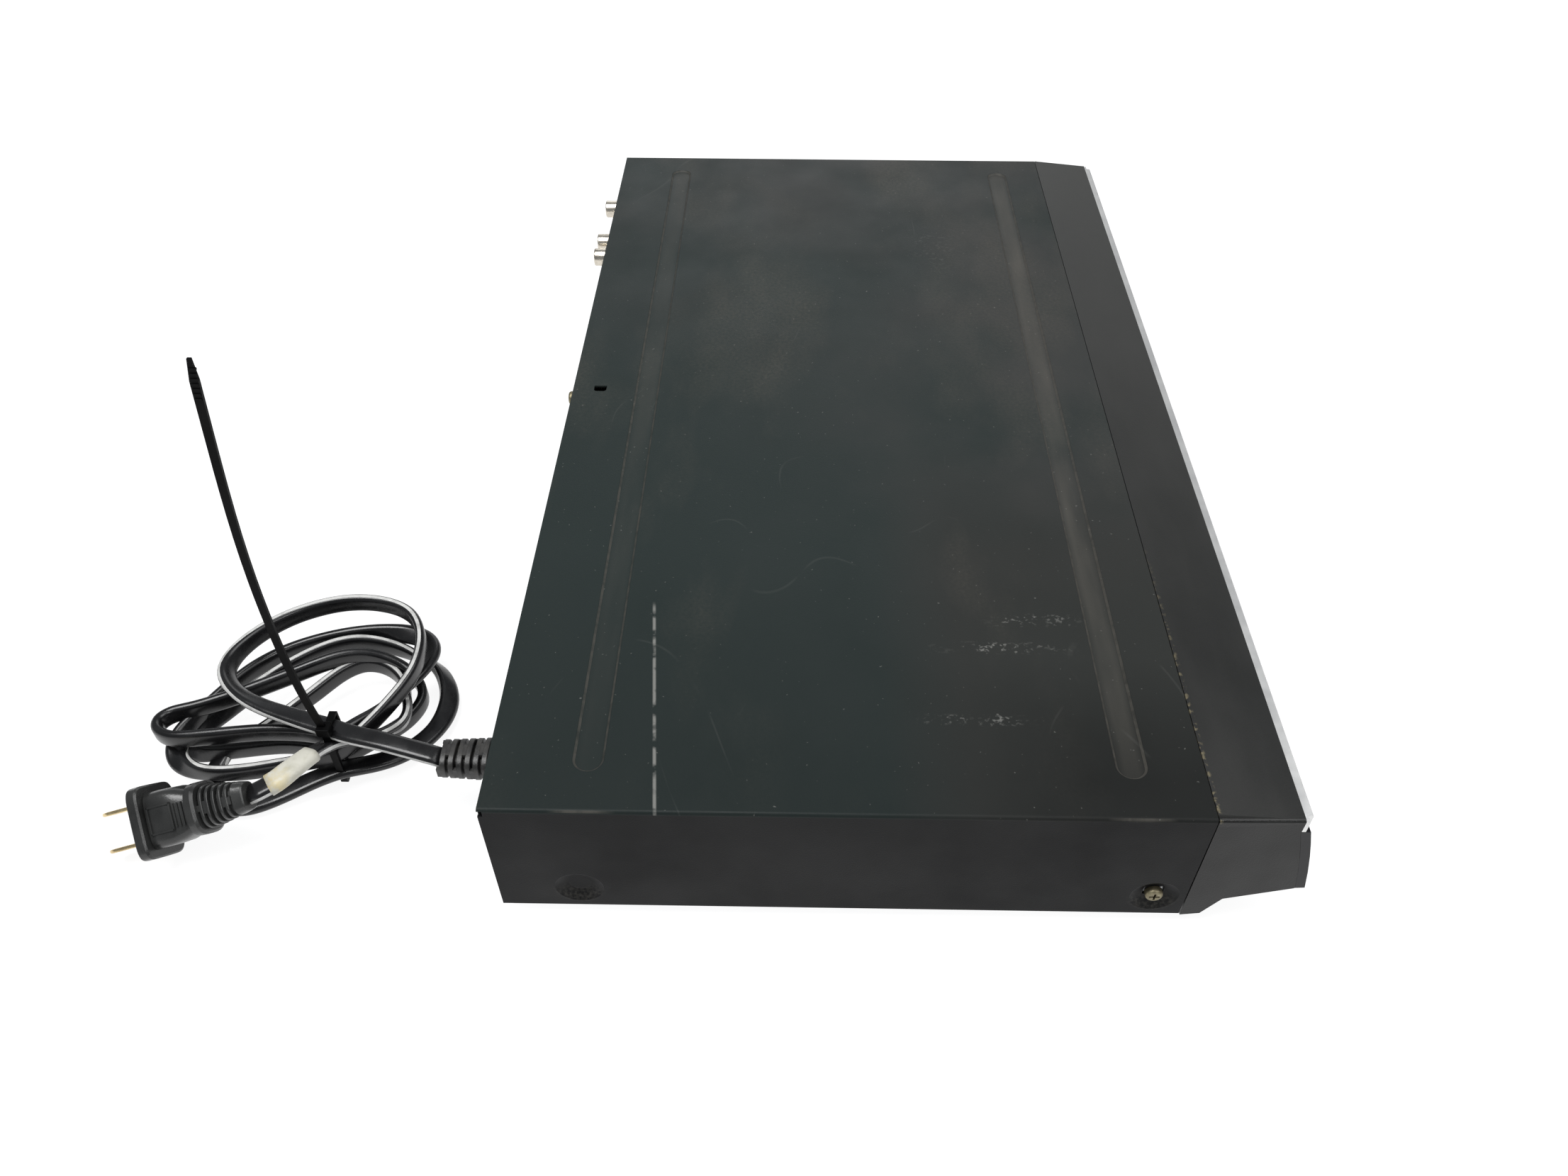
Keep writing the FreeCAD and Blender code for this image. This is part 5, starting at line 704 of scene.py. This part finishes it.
def shiny(material, sheen):
    """The material, with its reflection set to that level."""
    material.node_tree.nodes["Principled BSDF"].inputs["Specular IOR Level"].default_value = sheen
    return material


tie_nylon = grained(
    "tie_nylon", TIE_BLACK, TIE_GREY, roughness=0.40, per_metre=45.0, grain=1200.0, depth=0.00004,
)
coat(shiny(tie_nylon, TIE_SHEEN), "cable_tie")

# Top cover: folded steel, sprayed a dark satin charcoal, screwed to the chassis at its sides and rear.
# Two long ribs are pressed in its top, and a round dish for each side screw.
# It is dusty, wiped and scratched on top, greener at the back and worn greyer in front.
# Its far end is painted paler, as a painted sheen, and its near end and its sides darker, as painted shade.
COVER_DARK = (0.0138, 0.0196, 0.0190)
COVER_GREY = (0.0290, 0.0305, 0.0298)
COVER_NEAR_SHADE = (0.0068, 0.0100, 0.0096)
COVER_SIDE_SHADE = (0.0024, 0.0026, 0.0030)
COVER_FRONT = (0.0200, 0.0203, 0.0190)
COVER_CORNER = (0.0068, 0.0074, 0.0071)
COVER_DUST = (0.100, 0.088, 0.072)
# Smear colour, also used as a painted highlight on the rib slopes.
COVER_SMEAR_AND_HIGHLIGHT = (0.070, 0.066, 0.058)
COVER_SCRATCH = (0.17, 0.17, 0.16)
COVER_SHEEN = 0.12
COVER_ROUGHNESS = 0.45
COVER_GLOSS = {"per_metre": 30.0, "detail": 5.0, "spread": (0.3, 0.7), "strength": (0.40, 0.56)}
COVER_GRAIN = 2200.0
COVER_GRAIN_DEPTH = 0.00004
COVER_TOP = 0.0585
TOP_BEGINS = (COVER_TOP - 0.0015, COVER_TOP - 0.0011)
LINE_CORE = 0.4


def near_line(shader, value, line, width):
    """1 on the line, 0 beyond that width from it."""
    off = sums(shader, "ABSOLUTE", sums(shader, "SUBTRACT", value, line))
    return ramp(shader, off, width * LINE_CORE, width, 1.0, 0.0)


cover_paint, cover_shader = new_material("cover_paint", COVER_DARK, COVER_ROUGHNESS)
shiny(cover_paint, COVER_SHEEN)
cover_x, cover_y, cover_z = add(cover_shader, "SeparateXYZ", {0: points(cover_shader)}).outputs
on_top = ramp(cover_shader, cover_z, *TOP_BEGINS)

# The paint, with a painted sheen at the far end and painted shade at the near end and sides. An area has
# where it begins and where it is full, in metres along x or y, and its strength at both where that isn't from
# 0 to 1
WORN_TO_FRONT_Y = (0.070, -0.060)
WORN_FROM_NEAR_X = (-0.20, -0.06)
SHEEN_TO_FAR_X = (0.02, 0.21)
WEAR_AND_SHEEN_PATCHES = {"per_metre": 14.0, "detail": 5.0, "spread": (0.30, 0.62)}
NEAR_END_SHADE_X = (-0.10, -0.21, 0.0, 0.6)
NEAR_FRONT_X = (-0.030, -0.100)
NEAR_FRONT_Y = (0.002, -0.026, 0.0, 0.75)
CORNER_X = (-0.150, -0.200)
CORNER_Y = (0.000, -0.060, 0.0, 0.85)

# Greyer towards the front is wear; greyer towards the far end is a painted sheen.
worn_near = product(
    cover_shader,
    ramp(cover_shader, cover_y, *WORN_TO_FRONT_Y),
    ramp(cover_shader, cover_x, *WORN_FROM_NEAR_X),
)
worn_and_sheen = sums(cover_shader, "MAXIMUM", worn_near, ramp(cover_shader, cover_x, *SHEEN_TO_FAR_X))
worn_and_sheen = product(cover_shader, worn_and_sheen, patches(cover_shader, **WEAR_AND_SHEEN_PATCHES))
# The near end of the top is painted darker, as painted shade.
near_end_shade = ramp(cover_shader, cover_x, *NEAR_END_SHADE_X)
near_front = product(
    cover_shader, ramp(cover_shader, cover_x, *NEAR_FRONT_X), ramp(cover_shader, cover_y, *NEAR_FRONT_Y)
)
near_corner = product(
    cover_shader, ramp(cover_shader, cover_x, *CORNER_X), ramp(cover_shader, cover_y, *CORNER_Y)
)
cover_colour = mixed(cover_shader, worn_and_sheen, COVER_DARK, COVER_GREY)
cover_colour = mixed(cover_shader, near_end_shade, cover_colour, COVER_NEAR_SHADE)
cover_colour = mixed(cover_shader, near_front, cover_colour, COVER_FRONT)
cover_colour = mixed(cover_shader, near_corner, cover_colour, COVER_CORNER)
# The sides are painted darker than the top, as painted shade.
cover_colour = mixed(cover_shader, on_top, COVER_SIDE_SHADE, cover_colour)

# Wiped dust: broad faint clouds, drawn out along the cover, and rows of fine pale specks across it.
# A row has its middle, its half sizes along x and y, and its strength
DUST_CLOUDS = {
    "per_metre": 9.0, "detail": 6.0, "stretch": (1.0, 2.2, 1.0), "turn": 0.35,
    "spread": (0.52, 0.80), "strength": (0.0, 0.30),
}
DUST_GRAINS = {"per_metre": 700.0, "spread": (0.35, 0.65), "strength": (0.35, 1.0)}
DUSTY_X = (-0.190, -0.120, 0.2, 1.0)
SPECK_ROWS = (
    (-0.1330, -0.0520, 0.0034, 0.0190, 0.55),
    (-0.1460, -0.0400, 0.0030, 0.0260, 0.70),
    (-0.1776, -0.0280, 0.0026, 0.0200, 0.60),
    (0.1200, -0.0350, 0.0300, 0.0160, 0.12),
)
ROW_SPECKS = {"per_metre": 760.0, "stretch": (1.2, 0.8, 1.0), "spread": (0.54, 0.65)}
ROW_GAPS = {"per_metre": 120.0, "spread": (0.36, 0.62)}

wiped = product(
    cover_shader,
    patches(cover_shader, **DUST_CLOUDS),
    ramp(cover_shader, cover_x, *DUSTY_X),
    patches(cover_shader, **DUST_GRAINS),
    on_top,
)
cover_colour = mixed(cover_shader, wiped, cover_colour, COVER_DUST)
for row_x, row_y, row_half_x, row_half_y, row_strength in SPECK_ROWS:
    row = product(
        cover_shader,
        near_line(cover_shader, cover_x, row_x, row_half_x),
        near_line(cover_shader, cover_y, row_y, row_half_y),
        patches(cover_shader, strength=(0.0, row_strength), **ROW_SPECKS),
        patches(cover_shader, **ROW_GAPS),
        on_top,
    )
    cover_colour = mixed(cover_shader, row, cover_colour, COVER_SCRATCH)

# Dust in the ribs: it lies on their floors, thinner at the near ends. Their slopes are painted paler, a
# painted highlight that takes away their shading.
# A rib has its y and its share of dust
RIBS = ((0.0949, 0.7), (-0.0743, 2.2))
RIB_HALF = 0.0041
RIB_FLOOR_REACH = RIB_HALF * 1.3
RIB_SLOPE_REACH = RIB_HALF * 2.6
RIB_FLOOR = COVER_TOP - 0.00085
RIB_FLOOR_Z = (RIB_FLOOR + 0.0004, RIB_FLOOR)
RIB_SLOPE_FROM_TOP = (COVER_TOP - 0.00004, COVER_TOP - 0.00020)
RIB_SLOPE_FROM_FLOOR = (RIB_FLOOR + 0.00002, RIB_FLOOR + 0.00015)
RIB_DUSTY_X = (-0.205, -0.120, 0.2, 1.0)
RIB_DUST = {
    "per_metre": 45.0, "detail": 5.0, "stretch": (0.35, 1.6, 1.0),
    "spread": (0.30, 0.70), "strength": (0.04, 0.30),
}
SLOPE_HIGHLIGHT = {"per_metre": 300.0, "detail": 4.0, "spread": (0.30, 0.60), "strength": (0.25, 0.65)}

for rib_y, rib_share in RIBS:
    lying = product(
        cover_shader,
        near_line(cover_shader, cover_y, rib_y, RIB_FLOOR_REACH),
        ramp(cover_shader, cover_z, *RIB_FLOOR_Z),
        patches(cover_shader, **RIB_DUST),
        ramp(cover_shader, cover_x, *RIB_DUSTY_X),
        on_top,
        rib_share,
    )
    cover_colour = mixed(cover_shader, lying, cover_colour, COVER_SMEAR_AND_HIGHLIGHT)
    # Painted highlight: the rib slopes are lightened against their shade.
    slope_highlight = product(
        cover_shader,
        near_line(cover_shader, cover_y, rib_y, RIB_SLOPE_REACH),
        ramp(cover_shader, cover_z, *RIB_SLOPE_FROM_TOP),
        ramp(cover_shader, cover_z, *RIB_SLOPE_FROM_FLOOR),
        patches(cover_shader, **SLOPE_HIGHLIGHT),
    )
    cover_colour = mixed(cover_shader, slope_highlight, cover_colour, COVER_SMEAR_AND_HIGHLIGHT)

# Grey dust caught on the lower half of the round dishes that the side screws sit in
DISHES_Y = (0.1000, -0.0865)
DISH_HEIGHT = 0.0160
DISH_RADIUS = 0.0080
DISH_RIM_MIDDLE = DISH_RADIUS * 0.72
DISH_RIM_REACH = DISH_RADIUS * 0.42
DISH_LOWER_Z = (DISH_HEIGHT + 0.001, DISH_HEIGHT - 0.004, 0.0, 0.34)
DISH_GRAINS = {"per_metre": 900.0, "detail": 4.0, "spread": (0.38, 0.62)}
SEEN_FROM_SIDE = (0, 1, 1)

for dish_y in DISHES_Y:
    two_places = {0: points(cover_shader, SEEN_FROM_SIDE), 1: (0.0, dish_y, DISH_HEIGHT)}
    from_middle_of_dish = add(cover_shader, "VectorMath", two_places, operation="DISTANCE").outputs["Value"]
    caught = product(
        cover_shader,
        near_line(cover_shader, from_middle_of_dish, DISH_RIM_MIDDLE, DISH_RIM_REACH),
        ramp(cover_shader, cover_z, *DISH_LOWER_Z),
        patches(cover_shader, **DISH_GRAINS),
    )
    cover_colour = mixed(cover_shader, caught, cover_colour, COVER_SMEAR_AND_HIGHLIGHT)

# Broken line of dry residue along the rear left, slightly askew to the cover
RESIDUE_NEAR = (-0.2145, 0.0725)
RESIDUE_FAR = (-0.1301, 0.0802)
RESIDUE_WIDTH = 0.0007
RESIDUE_FADE = 0.004
RESIDUE_BREAKS = {"per_metre": 160.0, "detail": 4.0, "stretch": (1.0, 0.6, 1.0), "spread": (0.44, 0.56)}
RESIDUE_STRENGTH = 0.8

residue_slope = (RESIDUE_FAR[1] - RESIDUE_NEAR[1]) / (RESIDUE_FAR[0] - RESIDUE_NEAR[0])
residue_along = sums(cover_shader, "SUBTRACT", cover_x, RESIDUE_NEAR[0])
residue_rise = product(cover_shader, residue_along, residue_slope)
residue_off = sums(cover_shader, "SUBTRACT", cover_y, residue_rise)
residue = product(
    cover_shader,
    near_line(cover_shader, residue_off, RESIDUE_NEAR[1], RESIDUE_WIDTH),
    ramp(cover_shader, cover_x, RESIDUE_FAR[0] + RESIDUE_FADE, RESIDUE_FAR[0]),
    patches(cover_shader, **RESIDUE_BREAKS),
    on_top,
    RESIDUE_STRENGTH,
)
cover_colour = mixed(cover_shader, residue, cover_colour, COVER_SCRATCH)

# Sparse pale specks, and hairline scratches that wander: a scratch has its clouds to the metre and its turn
SCRATCHES = ((7.0, 0.3), (11.0, 1.1), (17.0, 2.3))
SCRATCH_STRETCH = (1.0, 1.6, 1.0)
SCRATCH_MIDDLE = 0.5
SCRATCH_FINENESS = 0.00028
SCRATCH_PIECES = {"per_metre": 24.0, "detail": 2.0, "spread": (0.62, 0.68), "strength": (0.0, 0.05)}
SPECKS = {"per_metre": 700.0, "detail": 1.0, "spread": (0.75, 0.80), "strength": (0.0, 0.34)}

for per_metre, scratch_turn in SCRATCHES:
    thread = cloud(cover_shader, per_metre, 0.0, SCRATCH_STRETCH, scratch_turn)
    scratch = product(
        cover_shader,
        near_line(cover_shader, thread, SCRATCH_MIDDLE, SCRATCH_FINENESS * per_metre),
        patches(cover_shader, turn=scratch_turn, **SCRATCH_PIECES),
        on_top,
    )
    cover_colour = mixed(cover_shader, scratch, cover_colour, COVER_SCRATCH)
specks = product(cover_shader, patches(cover_shader, **SPECKS), on_top)
cover_colour = mixed(cover_shader, specks, cover_colour, COVER_SCRATCH)
set_look(
    cover_shader,
    colour=cover_colour,
    roughness=patches(cover_shader, **COVER_GLOSS),
    height=cloud(cover_shader, COVER_GRAIN, GRAIN_DETAIL),
    depth=COVER_GRAIN_DEPTH,
)
coat(cover_paint, "top_cover")

# Plain steel: the zinc-plated chassis pan, rear panel, drive lid and guide rods.
# Zinc has a cool spangle and dulls in patches.
ZINC_BRIGHT = (0.53, 0.54, 0.55)
ZINC_DULL = (0.47, 0.48, 0.495)
zinc_steel = grained(
    "zinc_steel", ZINC_BRIGHT, ZINC_DULL,
    roughness=0.38, per_metre=55.0, grain=900.0, depth=0.00002, metallic=1.0,
)
coat(zinc_steel, "chassis_pan", "rear_panel", "drive_lid", "guide_rods")

# Screws: pan heads in yellow zinc, tarnished, with dirt in their crosses.
# They hold the cover at its sides and rear, and the drive's lid.
SCREW_YELLOW = (0.27, 0.24, 0.155)
SCREW_TARNISHED = (0.12, 0.10, 0.06)
screw_zinc = grained(
    "screw_zinc", SCREW_YELLOW, SCREW_TARNISHED,
    roughness=0.48, per_metre=520.0, grain=2400.0, depth=0.00005, metallic=0.8,
)
coat(screw_zinc, "screws")

# Feet: four soft rubber pads under the chassis.
# They are matt and pick up floor dust.
RUBBER_BLACK = (0.020, 0.020, 0.020)
RUBBER_DUSTY = (0.050, 0.048, 0.046)
foot_rubber = grained(
    "foot_rubber", RUBBER_BLACK, RUBBER_DUSTY, roughness=0.75, per_metre=120.0, grain=1600.0, depth=0.00010,
)
coat(foot_rubber, "rubber_feet")

# Front bezel: moulded black ABS that carries on the cover's lines in front of the seam, with its buttons.
# Its top is painted paler towards the far end, as a painted sheen, and its sides darker, as painted shade.
# Its near top edge is rubbed smooth, and crumbs of dust lie along the near end of the seam.
BEZEL_DARK = (0.0135, 0.0139, 0.0135)
BEZEL_WORN = (0.0230, 0.0230, 0.0222)
BEZEL_FAR_SHEEN = (0.0420, 0.0425, 0.0410)
BEZEL_SIDE_SHADE = (0.0075, 0.0075, 0.0073)
BEZEL_SHEEN = 0.20
BEZEL_ROUGHNESS = 0.42
BEZEL_WEAR = {"per_metre": 22.0, "detail": 5.0, "stretch": (0.5, 1.4, 1.0), "spread": (0.36, 0.68)}
BEZEL_FAR_SHEEN_X = (-0.15, 0.21)
BEZEL_SIDE_SHADE_X = (0.2125, 0.2145)
BEZEL_GLOSS = {"per_metre": 40.0, "detail": 4.0, "spread": (0.3, 0.7), "strength": (0.36, 0.48)}
BEZEL_GRAIN = 1800.0
BEZEL_GRAIN_DEPTH = 0.00004
EDGE_X = (-0.2124, -0.2128)
EDGE_Z = (0.0553, 0.0557)
EDGE_ROUGHNESS = 0.14
SEAM_Y = -0.0969
SEAM_BAND = 0.0017
SEAM_CRUMBS = (0.110, 0.095, 0.060)
CRUMB_GRAINS = {"per_metre": 600.0, "spread": (0.50, 0.62)}
CRUMBS_X = (-0.09, -0.18)
CRUMBS_Z = (0.0568, 0.0572)

bezel_plastic, bezel_shader = new_material("bezel_plastic", BEZEL_DARK, BEZEL_ROUGHNESS)
shiny(bezel_plastic, BEZEL_SHEEN)
bezel_x, bezel_y, bezel_z = add(bezel_shader, "SeparateXYZ", {0: points(bezel_shader)}).outputs
bezel_colour = mixed(bezel_shader, patches(bezel_shader, **BEZEL_WEAR), BEZEL_DARK, BEZEL_WORN)
# The top is painted paler towards the far end, as a painted sheen.
bezel_colour = mixed(bezel_shader, ramp(bezel_shader, bezel_x, *BEZEL_FAR_SHEEN_X), bezel_colour, BEZEL_FAR_SHEEN)
# The sides are painted darker than the top, as painted shade.
from_middle = sums(bezel_shader, "ABSOLUTE", bezel_x)
bezel_side_shade = ramp(bezel_shader, from_middle, *BEZEL_SIDE_SHADE_X)
bezel_colour = mixed(bezel_shader, bezel_side_shade, bezel_colour, BEZEL_SIDE_SHADE)
crumbs = product(
    bezel_shader,
    near_line(bezel_shader, bezel_y, SEAM_Y, SEAM_BAND),
    patches(bezel_shader, **CRUMB_GRAINS),
    ramp(bezel_shader, bezel_x, *CRUMBS_X),
    ramp(bezel_shader, bezel_z, *CRUMBS_Z),
)
bezel_colour = mixed(bezel_shader, crumbs, bezel_colour, SEAM_CRUMBS)
rubbed_edge = product(
    bezel_shader, ramp(bezel_shader, bezel_x, *EDGE_X), ramp(bezel_shader, bezel_z, *EDGE_Z)
)
bezel_roughness = patches(bezel_shader, **BEZEL_GLOSS)
edge_drop = sums(bezel_shader, "SUBTRACT", bezel_roughness, EDGE_ROUGHNESS)
edge_drop = product(bezel_shader, edge_drop, rubbed_edge)
set_look(
    bezel_shader,
    colour=bezel_colour,
    roughness=sums(bezel_shader, "SUBTRACT", bezel_roughness, edge_drop),
    height=cloud(bezel_shader, BEZEL_GRAIN, GRAIN_DETAIL),
    depth=BEZEL_GRAIN_DEPTH,
)
coat(bezel_plastic, "front_bezel", "av_flap", "tray_fascia", "power_button", "eject_button")
coat(bezel_plastic, "stop_key", "play_key", "record_key", "channel_down_key", "channel_up_key")

# Front plate: a gloss black panel along the whole front, with the display window let into it.
# Gloss plastic shows faint polishing haze; the window and the tube behind it are smoked.
GLOSS_BLACK = (0.008, 0.008, 0.009)
GLOSS_HAZE = (0.016, 0.016, 0.018)
GLOSS_SHEEN = 0.14
SMOKE_DARK = (0.010, 0.011, 0.014)
SMOKE_PALE = (0.020, 0.023, 0.028)
gloss_front = grained(
    "gloss_front", GLOSS_BLACK, GLOSS_HAZE, roughness=0.14, per_metre=25.0, grain=300.0, depth=0.000004,
)
coat(shiny(gloss_front, GLOSS_SHEEN), "front_plate")
smoked_window = grained(
    "smoked_window", SMOKE_DARK, SMOKE_PALE, roughness=0.08, per_metre=18.0, grain=250.0, depth=0.000003,
)
coat(smoked_window, "display_window", "display_tube")

# Silver trim: a painted strip along the top of the front, rounded over its edge.
# Metallic paint, finer than brushed metal, slightly rubbed.
TRIM_SILVER = (0.62, 0.62, 0.62)
TRIM_RUBBED = (0.74, 0.74, 0.73)
silver_paint = grained(
    "silver_paint", TRIM_SILVER, TRIM_RUBBED,
    roughness=0.34, per_metre=60.0, grain=3200.0, depth=0.00002, metallic=0.75,
)
coat(silver_paint, "silver_trim")

# Rear sockets: nickel-plated barrels with coloured plastic rings, in black blocks.
# The colours are the usual ones: red and white for sound, yellow for picture, orange for digital sound.
# Red is the first along x, and each other colour has the x where it takes over.
NICKEL_BRIGHT = (0.72, 0.67, 0.58)
NICKEL_DULL = (0.50, 0.46, 0.40)
BLOCK_BLACK = (0.018, 0.018, 0.018)
BLOCK_GREY = (0.036, 0.036, 0.036)
RING_RED = (0.55, 0.02, 0.02)
RING_COLOURS = (
    (0.1391, (0.72, 0.72, 0.68)),
    (0.1744, (0.75, 0.52, 0.03)),
    (0.1890, (0.60, 0.18, 0.02)),
)
RING_CHANGE = 0.0001
RING_ROUGHNESS = 0.4
RING_DIRT = {"per_metre": 320.0, "detail": 4.0, "spread": (0.45, 0.75), "strength": (0.0, 0.35)}
nickel = grained(
    "nickel", NICKEL_BRIGHT, NICKEL_DULL,
    roughness=0.26, per_metre=180.0, grain=2600.0, depth=0.00002, metallic=1.0,
)
coat(nickel, "socket_barrels", "antenna_sockets", "loading_motor", "motor_pulley", "traverse_motors")
socket_colours, ring_shader = new_material("socket_colours", RING_RED, RING_ROUGHNESS)
ring_x = add(ring_shader, "SeparateXYZ", {0: points(ring_shader)}).outputs[0]
ring_shade = RING_RED
for ring_place, ring_colour in RING_COLOURS:
    from_here = ramp(ring_shader, ring_x, ring_place, ring_place + RING_CHANGE)
    ring_shade = mixed(ring_shader, from_here, ring_shade, ring_colour)
ring_dirt = patches(ring_shader, **RING_DIRT)
set_look(ring_shader, colour=mixed(ring_shader, ring_dirt, ring_shade, BLOCK_GREY))
coat(socket_colours, "socket_inserts")
block_plastic = grained(
    "block_plastic", BLOCK_BLACK, BLOCK_GREY, roughness=0.48, per_metre=90.0, grain=1400.0, depth=0.00004,
)
coat(block_plastic, "socket_blocks", "video_sockets", "front_sockets", "fan_housing", "fan_rotor")

# Disc drive: a black plastic frame with the tray, traverse and sled, cream gears and a rubber belt.
# The laser's lens is coated glass, blue where it catches the light.
DRIVE_BLACK = (0.022, 0.022, 0.024)
DRIVE_GREY = (0.038, 0.038, 0.040)
GEAR_CREAM = (0.66, 0.65, 0.60)
GEAR_AGED = (0.56, 0.55, 0.50)
BELT_BLACK = (0.016, 0.016, 0.016)
BELT_GREY = (0.034, 0.034, 0.034)
LENS_BLUE = (0.10, 0.16, 0.34)
LENS_PALE = (0.20, 0.28, 0.48)
drive_plastic = grained(
    "drive_plastic", DRIVE_BLACK, DRIVE_GREY, roughness=0.5, per_metre=60.0, grain=1300.0, depth=0.00005,
)
coat(drive_plastic, "drive_frame", "disc_tray", "traverse_plate", "turntable", "disc_clamper", "laser_sled")
gear_plastic = grained(
    "gear_plastic", GEAR_CREAM, GEAR_AGED, roughness=0.42, per_metre=120.0, grain=1800.0, depth=0.00003,
)
coat(gear_plastic, "tray_gear", "pulley_gear", "sled_gear", "sled_pinion")
belt_rubber = grained(
    "belt_rubber", BELT_BLACK, BELT_GREY, roughness=0.7, per_metre=150.0, grain=2000.0, depth=0.00005,
)
coat(belt_rubber, "drive_belt")
lens_glass = grained(
    "lens_glass", LENS_BLUE, LENS_PALE, roughness=0.05, per_metre=400.0, grain=1000.0, depth=0.000002,
)
coat(lens_glass, "objective_lens")

# Boards: green lacquered boards on spacers, with the cans, cooling fins and transformer soldered to them.
# White ribbon cables join them to the drive and the front.
BOARD_GREEN = (0.012, 0.075, 0.030)
BOARD_PALE = (0.020, 0.110, 0.045)
CAN_BRIGHT = (0.70, 0.71, 0.72)
CAN_DULL = (0.55, 0.56, 0.58)
CORE_BROWN = (0.10, 0.09, 0.08)
CORE_RUST = (0.20, 0.16, 0.10)
RIBBON_WHITE = (0.60, 0.60, 0.58)
RIBBON_GREY = (0.48, 0.50, 0.52)
board_lacquer = grained(
    "board_lacquer", BOARD_GREEN, BOARD_PALE, roughness=0.35, per_metre=220.0, grain=1500.0, depth=0.00006,
)
coat(board_lacquer, "main_board", "power_board", "front_board")
can_metal = grained(
    "can_metal", CAN_BRIGHT, CAN_DULL,
    roughness=0.32, per_metre=140.0, grain=2200.0, depth=0.00002, metallic=1.0,
)
coat(can_metal, "capacitors", "heat_sink", "board_spacers")
core_iron = grained(
    "core_iron", CORE_BROWN, CORE_RUST, roughness=0.6, per_metre=200.0, grain=1700.0, depth=0.00006,
)
coat(core_iron, "transformer")
ribbon_film = grained(
    "ribbon_film", RIBBON_WHITE, RIBBON_GREY, roughness=0.35, per_metre=110.0, grain=900.0, depth=0.00003,
)
coat(ribbon_film, "ribbon_cables")
